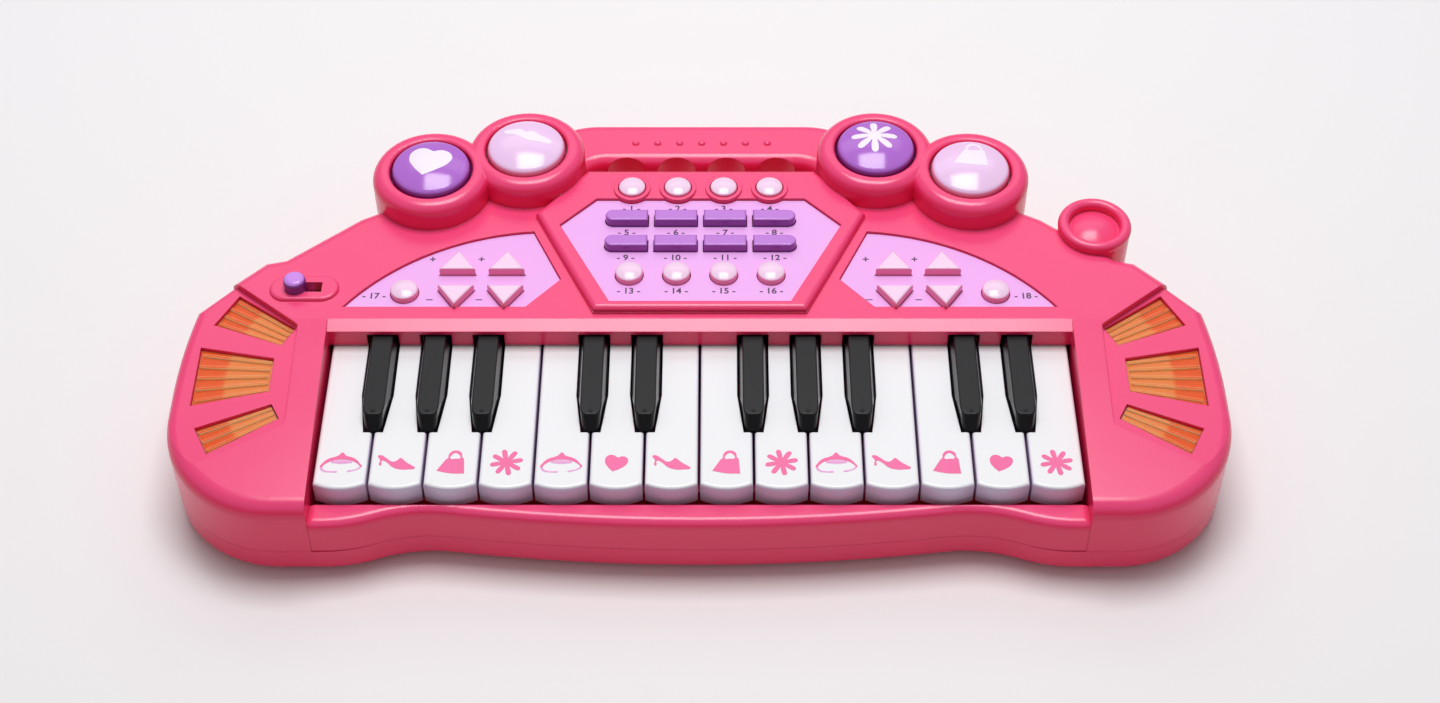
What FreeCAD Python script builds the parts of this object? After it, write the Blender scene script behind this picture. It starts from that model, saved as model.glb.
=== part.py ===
import FreeCAD, Part
import math
import os
import re
import Sketcher
from FreeCAD import Placement, Rotation, Vector

# Driving sizes in millimetres and degrees.
# X runs along the keyboard, Y from the player to the back, Z up from the table.
# Places named "from the keys" are measured back from the line of the white keys' fronts.
SIZES = [
    ("case_depth", 193.5, "lower front edge to back of handle"),
    ("drawn_depth", 183, "key fronts to back of handle, as the places from the keys are drawn"),
    ("half_width", 181.5, "middle to the end of the case"),
    ("front_margin", 10.5, "case front to key fronts"),
    ("wall", 2.2, "side walls and floor"),
    ("deck_wall", 3.2, "thickness of the top"),
    ("foot_height", 2, "moulded feet"),
    ("foot_radius", 8, "moulded feet"),
    ("foot_front_in", 49.5, "front feet, in from the ends"),
    ("foot_front", 16, "front feet, from the keys"),
    ("foot_back_place", 112, "back feet, from the middle"),
    ("foot_back", 115, "back feet, from the keys"),
    ("parting", 13, "height of the joint between the two cases"),
    ("deck", 43, "height of the control deck"),
    ("end_slope", 5.5, "fall of the end decks towards the player"),
    ("end_flat", 11, "straight runs beside the front corners"),
    ("end_widest", 40, "widest place, from the keys"),
    ("end_back", 76.5, "back of the end, from the keys"),
    ("end_back_in", 3.5, "back of the end, in from the widest place"),
    ("corner_back", 98.6, "back corner, from the keys"),
    ("corner_in", 25, "back corner, in from the widest place"),
    ("shoulder_back", 100.3, "shoulder, from the keys"),
    ("shoulder_in", 32, "shoulder, in from the widest place"),
    ("neck_back", 121, "neck beside the outer pad, from the keys"),
    ("neck_in", 56.5, "neck, in from the widest place"),
    ("rim_round", 6, "round of the top rim"),
    ("floor_round", 4, "round of the bottom rim"),
    ("slide_gap", 0.3, "gap where one piece slides past another"),
    ("key_pitch", 18.5, "white key spacing"),
    ("key_gap", 0.8, "gap between white keys"),
    ("key_top", 34, "height of the white keys"),
    ("key_length", 64, "white key front to the fascia"),
    ("key_skirt", 9, "depth of a white key at its front"),
    ("key_wall", 1.8, "wall of a white key"),
    ("key_bow", 2.4, "bow of a white key's front"),
    ("key_round", 1.2, "round of a white key's top edges"),
    ("bed_gap", 0.9, "gap beside the outer keys"),
    ("pivot_back", 80, "key pivot, from the keys"),
    ("pivot_height", 25, "height of the key pivot"),
    ("pivot_pin", 4, "diameter of the pivot rod"),
    ("pivot_fit", 0.05, "play of a key on the rod"),
    ("pivot_wall", 2.4, "wall of a key's barrel"),
    ("pivot_end", 4, "thickness of the posts that hold the rod"),
    ("plunger_back", 70, "contact plunger, from the keys"),
    ("plunger_radius", 2, "contact plunger"),
    ("plunger_length", 1, "plunger below the arm"),
    ("key_dip", 3, "swing of a key in degrees"),
    ("stop_back", 9, "key stop rail, from the keys"),
    ("stop_width", 3, "key stop rail"),
    ("key_board_width", 9, "circuit board under the keys"),
    ("black_width", 9.8, "black key at its foot"),
    ("black_top_width", 7.2, "black key at its flat top"),
    ("black_rise", 5.3, "black key above the white keys"),
    ("black_tip", 25, "black key's front, from the keys"),
    ("black_nose", 16, "length of a black key's drawn-in tip"),
    ("black_slant", 3.2, "lean of a black key's front"),
    ("black_point", 5.6, "width of a black key's tip"),
    ("black_tip_round", 2.2, "round of a black key's tip corners"),
    ("black_depth", 5, "black key below the white tops"),
    ("black_round", 0.6, "round of a black key's top"),
    ("black_gap", 0.6, "gap beside a black key"),
    ("fascia_drop", 0.7, "fascia above the white keys"),
    ("ledge_run", 4.8, "slope of the ledge, front to back"),
    ("ledge_fall", 1.6, "slope of the ledge, top to bottom"),
    ("lip_top", 27, "height of the front lip"),
    ("lip_gap", 1.4, "lip to the key fronts"),
    ("lip_bulge", 9.7, "lip in the middle, from the keys"),
    ("lip_waist", 4.2, "lip at its narrowest, from the keys"),
    ("lip_waist_place", 84, "narrowest place, from the middle"),
    ("lip_sweep", 52, "radius of the lip's flare"),
    ("lip_round", 3.2, "round of the lip"),
    ("platform_rise", 3, "middle panel above the deck"),
    ("platform_edge", 2.2, "round of the middle panel"),
    ("platform_foot", 37.5, "half the middle panel at the ledge"),
    ("platform_half", 60, "half the middle panel at its widest"),
    ("platform_widest", 119, "its widest place, from the keys"),
    ("platform_back", 42, "half the middle panel at the back"),
    ("print_foot", 32, "half the middle overlay at its front"),
    ("print_front", 74.5, "front of the overlays, from the keys"),
    ("print_half", 51, "half the middle overlay at its widest"),
    ("print_widest", 112.5, "its widest place, from the keys"),
    ("print_head", 38, "half the middle overlay at its back"),
    ("print_back", 126, "back of the middle overlay, from the keys"),
    ("side_print_point", 49.5, "inner point of a side overlay, from the middle"),
    ("side_print_point_back", 88, "inner point of a side overlay, from the keys"),
    ("side_print_inner", 61.5, "inner front corner, from the middle"),
    ("side_print_outer", 126, "outer front corner, from the middle"),
    ("side_print_head", 60.4, "back corner, from the middle"),
    ("side_print_back", 112, "back corner, from the keys"),
    ("side_print_bow", 87, "radius of its back edge"),
    ("recess", 1.6, "depth of the overlay pockets"),
    ("overlay", 0.6, "thickness of the overlays"),
    ("overlay_gap", 0.25, "overlay to its pocket's edge"),
    ("button_pitch", 16.8, "round buttons on the middle panel"),
    ("button_radius", 4.9, "round buttons"),
    ("button_rise", 3.4, "buttons above their overlay"),
    ("button_sphere", 10, "roundness of the round buttons' tops"),
    ("button_edge", 1, "round of the round buttons' edges"),
    ("button_show", 1.8, "top round buttons above their rings"),
    ("button_travel", 1.2, "press of a button"),
    ("flange", 0.9, "width of a button's flange"),
    ("flange_thick", 1.2, "thickness of a button's flange"),
    ("stem_radius", 2.2, "stem under a button"),
    ("stem_length", 2.3, "stem under a button's flange"),
    ("collar", 1.5, "rings round the top buttons"),
    ("collar_rise", 0.8, "rings round the top buttons"),
    ("top_row", 131, "top round buttons, from the keys"),
    ("upper_bars", 115.3, "upper tone bars, from the keys"),
    ("lower_bars", 102.5, "lower tone bars, from the keys"),
    ("bottom_row", 88, "bottom round buttons, from the keys"),
    ("bar_pitch", 17.8, "tone bars"),
    ("bar_length", 15.4, "tone bars"),
    ("bar_width", 5.6, "tone bars"),
    ("side_first", 69, "inner triangles, from the middle"),
    ("side_second", 86.5, "outer triangles, from the middle"),
    ("side_upper", 94, "upper triangles, from the keys"),
    ("side_lower", 80, "lower triangles, from the keys"),
    ("side_round_place", 104.7, "side round buttons, from the middle"),
    ("side_round_back", 82, "side round buttons, from the keys"),
    ("triangle_width", 12.8, "triangular buttons"),
    ("triangle_height", 9.4, "triangular buttons"),
    ("cap_round", 0.8, "round of the button tops"),
    ("pad_inner_place", 64.5, "inner drum pads, from the middle"),
    ("pad_inner_back", 145.2, "inner drum pads, from the keys"),
    ("pad_outer_place", 98.7, "outer drum pads, from the middle"),
    ("pad_outer_back", 134, "outer drum pads, from the keys"),
    ("pad_radius", 14.4, "drum pads"),
    ("pad_gap", 0.7, "drum pad to its ring"),
    ("pad_rise", 4.1, "drum pad above its ring"),
    ("pad_sphere", 30, "roundness of the drum pads' tops"),
    ("pad_edge", 2.8, "round of the drum pads' edges"),
    ("pad_travel", 2, "press of a drum pad"),
    ("pad_stem", 4, "stem under a drum pad"),
    ("pad_stem_radius", 5, "stem under a drum pad"),
    ("ring_width", 6.5, "pad rings, from hole to outside"),
    ("ring_shoulder", 4.6, "outer round of the pad rings"),
    ("ring_lip", 1.4, "inner round of the pad rings"),
    ("tuck", 0.3, "one form set into another"),
    ("ring_roof", 2.5, "roof left under a pad ring"),
    ("ring_top", 53.5, "height of the pad rings"),
    ("socket_in", 38.7, "socket ring, in from the end"),
    ("socket_back", 112.8, "socket ring, from the keys"),
    ("socket_radius", 13.3, "socket ring"),
    ("socket_round", 2.1, "roundness of the socket ring"),
    ("socket_rise", 2, "middle of the socket ring above the deck"),
    ("socket_floor", 0.4, "socket floor above the deck"),
    ("socket_dome", 8.4, "radius of the socket's blank"),
    ("socket_dome_rise", 2.4, "height of the socket's blank"),
    ("knob_in", 38.3, "switch knob, in from the end"),
    ("knob_back", 83, "switch knob, from the keys"),
    ("knob_radius", 4, "switch knob"),
    ("knob_rise", 4.5, "switch knob above its plate"),
    ("knob_travel", 6, "switch travel"),
    ("knob_stem", 6, "length of the knob's stem"),
    ("knob_slot", 4.6, "width of the switch slot"),
    ("knob_plate", 1.2, "raised plate round the switch"),
    ("knob_plate_margin", 6, "raised plate beyond the ends of the slot"),
    ("knob_plate_width", 12, "raised plate, front to back"),
    ("fan_in", 40.9, "inner edge of the light panel, in from the end"),
    ("fan_foot", 24, "front corner of the light panel, from the keys"),
    ("fan_angle", 30, "turn of the light panel's front edge"),
    ("fan_sink", 4, "tilt of the light panel"),
    ("fan_floor", 2.4, "thickness of the light panel"),
    ("fan_round", 4, "round of the light panel's outer edge"),
    ("fan_centre_in", 68.6, "centre of the window fan, in from the end"),
    ("fan_centre_back", 45.9, "centre of the window fan, from the keys"),
    ("window_start", 35.5, "inner end of the windows, from the fan's centre"),
    ("window_end", 62.5, "outer end of the windows, from the fan's centre"),
    ("fan_top", 42.5, "length of the light panel's inner edge"),
    ("fan_cheek", 39, "slant of the light panel's back edge"),
    ("back_window_low", 21.8, "back window's front edge, turned from the fan's middle"),
    ("back_window_high", 35.8, "back window's back edge"),
    ("middle_window_low", -12, "middle window's front edge"),
    ("middle_window_high", 12, "middle window's back edge"),
    ("front_window_low", -33, "front window's front edge"),
    ("front_window_high", -21.4, "front window's back edge"),
    ("lens_gap", 0.25, "lens to its window"),
    ("lens_sink", 1.4, "lens below the light panel"),
    ("lens_plate", 1.6, "plate that joins the lenses"),
    ("lens_rib", 0.7, "ribs on the lenses"),
    ("lens_rib_width", 1.1, "ribs on the lenses"),
    ("lens_margin", 2, "lens plate beyond its windows"),
    ("lens_spread", 2, "lens plate beyond its windows, turned"),
    ("handle_gap_half", 46, "half the finger gap"),
    ("handle_inner", 161, "handle's inner edge, from the keys"),
    ("handle_top", 32, "top of the handle"),
    ("handle_foot", 7, "bottom of the handle"),
    ("handle_half", 66, "half the handle's outside"),
    ("handle_corner", 26, "outer corners of the handle"),
    ("handle_inner_corner", 10, "inner corners of the handle"),
    ("handle_round", 5, "round of the handle's edges"),
    ("deck_back", 141.4, "back of the deck, from the keys"),
    ("grip_pitch", 19, "finger hollows in the handle"),
    ("grip_radius", 12, "finger hollows in the handle"),
    ("grip_depth", 2.4, "finger hollows in the handle"),
    ("dot_pitch", 8.4, "grip dots on the handle"),
    ("dot_radius", 1.5, "grip dots on the handle"),
    ("board", 1.6, "thickness of the circuit boards"),
    ("mat", 1, "thickness of the contact mats"),
    ("dome_radius", 3, "contact domes"),
    ("dome_height", 2.5, "contact domes and their mat"),
    ("main_board_half", 54.5, "half the main board"),
    ("side_board_inner", 60.4, "inner edge of a side board, from the middle"),
    ("side_board_outer", 121, "outer edge of a side board, from the middle"),
    ("switch_board_half", 11, "half the switch board"),
    ("switch_board_front", 4, "switch board in front of the knob"),
    ("switch_board_depth", 15, "switch board"),
    ("switch_half", 9, "half the slide switch"),
    ("switch_width", 7, "slide switch"),
    ("lamp_board_length", 26, "lamp boards"),
    ("lamp_board_width", 30, "lamp boards"),
    ("lamp_reach", 20, "lamps, from the key bed"),
    ("lamp_pitch", 11, "lamps"),
    ("post_radius", 2.5, "posts that hold the boards"),
    ("main_post_place", 50, "main board's posts, from the middle"),
    ("main_post_front", 95, "main board's front posts, from the keys"),
    ("main_post_back", 127, "main board's back posts, from the keys"),
    ("side_post_inner", 59.5, "side board's inner post, from the middle"),
    ("side_post_inner_back", 99, "side board's inner post, from the keys"),
    ("side_post_outer", 116, "side board's outer post, from the middle"),
    ("side_post_outer_back", 80, "side board's outer post, from the keys"),
    ("switch_post_place", 8, "switch board's posts, from its middle"),
    ("switch_post_back", 8, "switch board's posts behind the knob"),
    ("rib", 1.8, "ribs on the floor"),
    ("screw_radius", 1.4, "case screws"),
    ("screw_head", 2.7, "radius of the screw heads"),
    ("screw_head_height", 1.8, "case screws"),
    ("screw_length", 16, "case screws under the head"),
    ("screw_post", 4, "radius of the screw posts"),
    ("screw_shelf", 3, "screw heads, in from the underside"),
    ("screw_play", 0.1, "screw to its hole"),
    ("screw_room", 1, "hole beyond the end of a screw"),
    ("screw_front_in", 35.5, "front screws, in from the ends"),
    ("screw_front_back", 4, "front screws, from the keys"),
    ("screw_end_in", 26, "end screws, in from the ends"),
    ("screw_end_back", 90, "end screws, from the keys"),
    ("screw_inner_in", 101.5, "inner screws, in from the ends"),
    ("screw_inner_back", 114, "inner screws, from the keys"),
    ("speaker_in", 26, "loudspeaker, in from the end"),
    ("speaker_back", 46, "loudspeaker, from the keys"),
    ("speaker_radius", 22, "loudspeaker"),
    ("speaker_height", 17, "loudspeaker"),
    ("speaker_rim", 2.2, "loudspeaker's rim"),
    ("speaker_rim_height", 2.6, "loudspeaker's rim"),
    ("speaker_basket", 9.4, "height of the loudspeaker's basket"),
    ("speaker_magnet", 13.6, "radius of the loudspeaker's magnet"),
    ("speaker_cone", 7.2, "depth of the loudspeaker's cone"),
    ("speaker_cap", 6.6, "radius of the loudspeaker's dust cap"),
    ("speaker_cap_height", 0.6, "loudspeaker's dust cap"),
    ("grille_radius", 18.4, "round field of loudspeaker slots"),
    ("slot_width", 2.4, "loudspeaker slots"),
    ("slot_pitch", 5.5, "loudspeaker slots"),
    ("bay_half", 58, "half the battery bay"),
    ("bay_front", 92, "battery bay, from the keys"),
    ("bay_width", 31, "battery bay, front to back"),
    ("bay_height", 15.5, "battery bay above its door"),
    ("bay_wall", 1.8, "battery bay walls"),
    ("door_rim", 1.6, "seat for the battery door"),
    ("door_thick", 2, "battery door"),
    ("contact_thick", 0.5, "battery contacts"),
    ("contact_size", 11, "battery contacts"),
    ("contact_bump", 3.6, "foot radius of a contact's bump"),
    ("contact_bump_tip", 1.8, "tip radius of a contact's bump"),
    ("contact_bump_height", 2.8, "a contact's bump"),
    ("lamp_radius", 2.5, "lamps"),
    ("lamp_height", 4, "lamps"),
]

WHITE_KEYS = 14
# The white keys that have a black key on their right, counted from the left.
BLACK_AFTER = (1, 2, 3, 5, 6, 8, 9, 10, 12, 13)
SIDES = (-1, 1)
SIDE_WORDS = ((-1, "left"), (1, "right"))
COLUMNS = (-1.5, -0.5, 0.5, 1.5)
DOTS = 7
SPEAKER_SLOTS = 7

doc = FreeCAD.newDocument("toy_organ")
sheet = doc.addObject("Spreadsheet::Sheet", "Dims")
for row, (alias, size, meaning) in enumerate(SIZES, 1):
    sheet.set(f"A{row}", meaning)
    sheet.set(f"B{row}", str(size))
    sheet.setAlias(f"B{row}", alias)
doc.recompute()

ALIASES = {alias for alias, _, _ in SIZES}


def bound(text):
    """The expression, with each size's name pointing at its cell."""
    return re.sub(r"[a-z_]+", lambda word: "Dims." * (word.group() in ALIASES) + word.group(), str(text))


def number(text):
    return float(sheet.evalExpression(bound(text)))


def bind(item, **properties):
    for name, text in properties.items():
        item.setExpression(name, bound(text))


def place(item, x="0", y="0", z="0"):
    for axis, text in zip("xyz", (x, y, z)):
        item.setExpression(f"Placement.Base.{axis}", bound(text))
    return item


# Places that many pieces share, as expressions on the sizes.
KEYS = "(front_margin - case_depth / 2)"
STRETCH = "((case_depth - front_margin) / drawn_depth)"
BED_HALF = f"({WHITE_KEYS} * key_pitch / 2 + bed_gap)"
FASCIA = f"({KEYS} + key_length * {STRETCH})"
RIDGE = f"({FASCIA} + ledge_run)"
PIVOT = f"({KEYS} + pivot_back * {STRETCH})"
FLOOR = "(foot_height + wall)"
CEILING = "(deck - deck_wall)"
PLATFORM = "(deck + platform_rise)"
DECK_FLOOR = "(deck - recess)"
PLATFORM_FLOOR = f"({PLATFORM} - recess)"
PAD_HOLE = "(pad_radius + pad_gap)"
BOSS_RADIUS = f"({PAD_HOLE} + ring_width)"
RING_SEAT = "(ring_top - ring_shoulder)"
RING_SHELF = f"({RING_SEAT} - ring_roof)"
FLANGE_TOP = f"({CEILING} - slide_gap)"
STEM_FOOT = f"({FLANGE_TOP} - flange_thick - stem_length)"
DOME_TOP = f"({STEM_FOOT} - button_travel - slide_gap)"
BOARD_TOP = f"({DOME_TOP} - dome_height)"
BARREL = "(pivot_pin / 2 + pivot_fit + pivot_wall)"
ARM_TOP = f"(pivot_height + {BARREL})"
ARM_FOOT = f"(pivot_height - {BARREL})"
PLUNGER_FOOT = f"({ARM_FOOT} - plunger_length)"
KEY_DOME_TOP = f"({PLUNGER_FOOT} - (pivot_back - plunger_back) * {STRETCH} * tan(key_dip) - slide_gap)"
KEY_BOARD_TOP = f"({KEY_DOME_TOP} - dome_height)"
PAD_FLANGE_TOP = f"({RING_SHELF} - slide_gap)"
PAD_DOME_TOP = f"({PAD_FLANGE_TOP} - flange_thick - pad_stem - pad_travel - slide_gap)"
PAD_BOARD_TOP = f"({PAD_DOME_TOP} - dome_height)"
SLOT_LENGTH = "(knob_stem + knob_travel + 2 * slide_gap)"


def key_x(index):
    """Middle of a white key; halves fall on the gaps."""
    return f"({index} * key_pitch)"


def white_middle(number_from_left):
    return key_x(number_from_left - (WHITE_KEYS + 1) / 2)


def from_keys(text):
    """A place that moves in proportion when the case gets deeper."""
    return f"({KEYS} + ({text}) * {STRETCH})"


def by_keys(text):
    """A place that keeps its distance from the key fronts."""
    return f"({KEYS} + {text})"


# Drawing helpers.
def draw(sketch, points):
    """Close an outline through points (x, y) or (x, y, radius); a radius makes an arc to the next point,
    counter-clockwise where it is positive and clockwise where a minus sign leads it."""
    corners = [Vector(number(point[0]), number(point[1]), 0) for point in points]
    ends = []
    for index, point in enumerate(points):
        start = corners[index]
        finish = corners[(index + 1) % len(corners)]
        if len(point) == 2:
            sketch.addGeometry(Part.LineSegment(start, finish), False)
            ends.append((1, 2))
            continue
        turn = -1 if point[2].startswith("-") else 1
        radius = abs(number(point[2]))
        chord = finish - start
        rise = math.sqrt(max(radius ** 2 - chord.Length ** 2 / 4, 0))
        left = Vector(-chord.y, chord.x, 0).normalize()
        centre = (start + finish) * 0.5 + left * rise * turn
        first, last = (start, finish) if turn > 0 else (finish, start)
        angles = [math.atan2(spot.y - centre.y, spot.x - centre.x) for spot in (first, last)]
        circle = Part.Circle(centre, Vector(0, 0, 1), radius)
        sketch.addGeometry(Part.ArcOfCircle(circle, angles[0], angles[1]), False)
        ends.append((1, 2) if turn > 0 else (2, 1))
        ring = sketch.addConstraint(Sketcher.Constraint("Radius", index, radius))
        sketch.renameConstraint(ring, f"r{index}")
        sketch.setExpression(f"Constraints.r{index}", bound(point[2].lstrip("-")))
    for index, point in enumerate(points):
        follower = (index + 1) % len(points)
        sketch.addConstraint(
            Sketcher.Constraint("Coincident", index, ends[index][1], follower, ends[follower][0]))
        for kind, letter, text, spot in (("DistanceX", "x", point[0], corners[index].x),
                                         ("DistanceY", "y", point[1], corners[index].y)):
            held = sketch.addConstraint(Sketcher.Constraint(kind, -1, 1, index, ends[index][0], spot))
            sketch.renameConstraint(held, f"{letter}{index}")
            sketch.setExpression(f"Constraints.{letter}{index}", bound(text))


def both_sides(half, front=()):
    """The outline's right half, front to back, followed by its mirror image; front may hold the radius of
    the arc that closes it."""
    left = []
    for index in range(len(half) - 1, -1, -1):
        radius = half[index - 1][2:] if index else front
        left.append((f"-({half[index][0]})", half[index][1]) + tuple(radius))
    return half + left


def outline(name, points, z="0"):
    sketch = doc.addObject("Sketcher::SketchObject", name)
    draw(sketch, points)
    return place(sketch, z=z)


def extrude(name, profile, height):
    solid = doc.addObject("Part::Extrusion", name)
    solid.Base = profile
    solid.DirMode = "Custom"
    solid.Dir = Vector(0, 0, 1)
    solid.Solid = True
    bind(solid, LengthFwd=height)
    return solid


def prism(name, points, z, height):
    return extrude(name, outline(name + "_outline", points, z), height)


def box(name, x, y, z, length, width, height):
    solid = doc.addObject("Part::Box", name)
    bind(solid, Length=length, Width=width, Height=height)
    return place(solid, x, y, z)


def middle_box(name, y, z, half, width, height, x="0"):
    """A box that reaches half its length to each side of x."""
    return box(name, f"{x} - ({half})", y, z, f"2 * ({half})", width, height)


def cylinder(name, x, y, z, radius, height):
    solid = doc.addObject("Part::Cylinder", name)
    bind(solid, Radius=radius, Height=height)
    return place(solid, x, y, z)


def torus(name, x, y, z, radius, section):
    solid = doc.addObject("Part::Torus", name)
    bind(solid, Radius1=radius, Radius2=section)
    return place(solid, x, y, z)


def fuse(name, shapes):
    whole = doc.addObject("Part::MultiFuse", name)
    whole.Shapes = shapes
    return whole


def cut(name, base, tools):
    rest = doc.addObject("Part::Cut", name)
    rest.Base = base
    rest.Tool = tools[0] if len(tools) == 1 else fuse(name + "_tools", tools)
    return rest


def common(name, first, second):
    shared = doc.addObject("Part::MultiCommon", name)
    shared.Shapes = [first, second]
    return shared


def group(name, shapes):
    whole = doc.addObject("Part::Compound", name)
    whole.Links = shapes
    return whole


def round_edges(name, base, radius, chosen):
    """Round the edges of base for which chosen(edge) is true."""
    doc.recompute()
    rounded = doc.addObject("Part::Fillet", name)
    rounded.Base = base
    size = number(radius)
    edges = enumerate(base.Shape.Edges, 1)
    rounded.Edges = [(index, size, size) for index, edge in edges if chosen(base.Shape, edge)]
    return rounded


def is_rim(facing):
    """A test for edges between an upright wall and a face that looks up (1) or down (-1)."""
    def chosen(shape, edge):
        faces = shape.ancestorsOfType(edge, Part.Face)
        tilts = []
        for face in faces:
            middle = face.Surface.parameter(face.CenterOfMass)
            tilts.append(face.normalAt(*middle).z * facing)
        return len(tilts) == 2 and max(tilts) > 0.9 and abs(min(tilts, key=abs)) < 0.1
    return chosen


# Bodies made of sketches and features.
def new_body(name):
    return doc.addObject("PartDesign::Body", name)


def body_sketch(body, name, role, points, offset="0"):
    sketch = body.newObject("Sketcher::SketchObject", name)
    plane = [item for item in body.Origin.OriginFeatures if item.Role == role][0]
    sketch.AttachmentSupport = [(plane, "")]
    sketch.MapMode = "FlatFace"
    sketch.setExpression("AttachmentOffset.Base.z", bound(offset))
    draw(sketch, points)
    return sketch


def pad(body, sketch, length, side="One side"):
    feature = body.newObject("PartDesign::Pad", sketch.Name + "_pad")
    feature.Profile = sketch
    feature.SideType = side
    bind(feature, Length=length)
    return feature


def pocket(body, sketch, length, side="One side", upward=False):
    feature = body.newObject("PartDesign::Pocket", sketch.Name + "_cut")
    feature.Profile = sketch
    feature.SideType = side
    feature.Reversed = upward
    bind(feature, Length=length)
    return feature


def revolve(body, sketch):
    feature = body.newObject("PartDesign::Revolution", sketch.Name + "_turned")
    feature.Profile = sketch
    feature.ReferenceAxis = (sketch, ["V_Axis"])
    feature.Angle = 360
    return feature


def round_body(body, radius, chosen):
    doc.recompute()
    base = body.Tip
    names = [f"Edge{index}" for index, edge in enumerate(base.Shape.Edges, 1) if chosen(base.Shape, edge)]
    feature = body.newObject("PartDesign::Fillet", f"{body.Name}_{radius}")
    feature.Base = (base, names)
    bind(feature, Radius=radius)
    return feature


def on_top(height):
    """A test for edges that lie at a height or above it."""
    level = number(height) - 0.01
    return lambda shape, edge: edge.BoundBox.ZMin > level


def copy_of(body, name, x="0", y="0", z="0", turn=0):
    """One more of a piece that is made several times."""
    link = doc.addObject("App::Link", name)
    link.LinkedObject = body
    link.Label = name
    link.LinkPlacement = Placement(Vector(), Rotation(Vector(0, 0, 1), turn))
    for axis, text in zip("xyz", (x, y, z)):
        link.setExpression(f"LinkPlacement.Base.{axis}", bound(text))
    return link


def rectangle(x0, y0, x1, y1):
    return [(x0, y0), (x1, y0), (x1, y1), (x0, y1)]


nodes = {}

# Where the pads and the buttons stand.
PADS = {
    "drum_pad_1": ("-pad_outer_place", from_keys("pad_outer_back")),
    "drum_pad_2": ("-pad_inner_place", from_keys("pad_inner_back")),
    "drum_pad_3": ("pad_inner_place", from_keys("pad_inner_back")),
    "drum_pad_4": ("pad_outer_place", from_keys("pad_outer_back")),
}
SCREWS = [(f"{side} * (half_width - screw_{word}_in)", from_keys(f"screw_{word}_back"))
          for side in SIDES for word in ("front", "end", "inner")]


def mirrored(name, source):
    """The left-hand copy of a right-hand piece."""
    copy = doc.addObject("Part::Mirroring", name)
    copy.Source = source
    copy.Normal = Vector(1, 0, 0)
    return copy


def inset(name, profile, margin, height, below="0"):
    """A solid inside an outline, margin away from it."""
    smaller = doc.addObject("Part::Offset2D", name + "_inset")
    smaller.Source = profile
    bind(smaller, Value=f"-({margin})")
    solid = extrude(name, smaller, height)
    bind(solid, LengthRev=below)
    return solid


# The front of the lip and of the lower case: bowed in the middle, waisted, and flared to the ends.
LIP_RISE = "(lip_bulge - lip_waist)"
LIP_BOW = f"((lip_waist_place ^ 2 + {LIP_RISE} ^ 2) / (2 * {LIP_RISE}))"
LIP_TILT = f"asin(lip_waist_place / {LIP_BOW})"


def wave(reach):
    """The front's right half, out to reach in front of the keys; its arcs run into each other."""
    turn = f"acos((1 + cos({LIP_TILT}) - ({reach} - lip_waist) / lip_sweep) / 2)"
    knee = (f"lip_waist_place + lip_sweep * (sin({LIP_TILT}) + sin({turn}))",
            by_keys(f"lip_sweep * (cos({turn}) - cos({LIP_TILT})) - lip_waist"))
    end = f"lip_waist_place + lip_sweep * (sin({LIP_TILT}) + 2 * sin({turn}))"
    return [("lip_waist_place", by_keys("-lip_waist"), "-lip_sweep"), knee + ("lip_sweep",),
            (end, by_keys(f"-({reach})"))]


# The plan of both cases, right half, front to back; its arcs run into its straight runs.
END_CORNER = f"(min(end_widest * {STRETCH} + front_margin; half_width - {BED_HALF}) - end_flat)"
END_BOW = f"((end_back_in ^ 2 + ((end_back - end_widest) * {STRETCH}) ^ 2) / (2 * end_back_in))"
CASE_HALF = [
    (f"half_width - {END_CORNER}", by_keys("-front_margin"), END_CORNER),
    ("half_width", by_keys(f"{END_CORNER} - front_margin")),
    ("half_width", from_keys("end_widest"), END_BOW),
    ("half_width - end_back_in", from_keys("end_back")),
    ("half_width - corner_in", from_keys("corner_back")),
    ("half_width - shoulder_in", from_keys("shoulder_back")),
    ("half_width - neck_in", from_keys("neck_back")),
    ("pad_outer_place", f"{from_keys('pad_outer_back')} + ring_lip"),
    ("pad_inner_place", f"{from_keys('pad_inner_back')} + ring_lip"),
    ("platform_back", from_keys("deck_back")),
]
TRAY = both_sides(wave("front_margin") + CASE_HALF, (LIP_BOW,))
SOCKET = ("half_width - socket_in", from_keys("socket_back"))
HANDLE_FRONT = from_keys("deck_back - wall")
HANDLE_INNER = from_keys("handle_inner")
HANDLE = [
    ("handle_half", HANDLE_FRONT),
    ("handle_half", "case_depth / 2 - handle_corner", "handle_corner"),
    ("handle_half - handle_corner", "case_depth / 2"),
    ("handle_corner - handle_half", "case_depth / 2", "handle_corner"),
    ("-handle_half", "case_depth / 2 - handle_corner"),
    ("-handle_half", HANDLE_FRONT),
    ("-handle_gap_half", HANDLE_FRONT),
    ("-handle_gap_half", f"{HANDLE_INNER} - handle_inner_corner", "-handle_inner_corner"),
    ("handle_inner_corner - handle_gap_half", HANDLE_INNER),
    ("handle_gap_half - handle_inner_corner", HANDLE_INNER, "-handle_inner_corner"),
    ("handle_gap_half", f"{HANDLE_INNER} - handle_inner_corner"),
    ("handle_gap_half", HANDLE_FRONT),
]


def bosses(name, z, height, radius_change, socket_height):
    """The drums under the pads and the socket, thicker or thinner by radius_change."""
    drums = []
    for pad_name, (x, y) in PADS.items():
        drums.append(cylinder(f"{name}_{pad_name}", x, y, z, f"{BOSS_RADIUS} + {radius_change}", height))
    socket_drum = f"socket_radius - tuck + {radius_change}"
    drums.append(cylinder(f"{name}_socket", *SOCKET, z, socket_drum, socket_height))
    return drums


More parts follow.
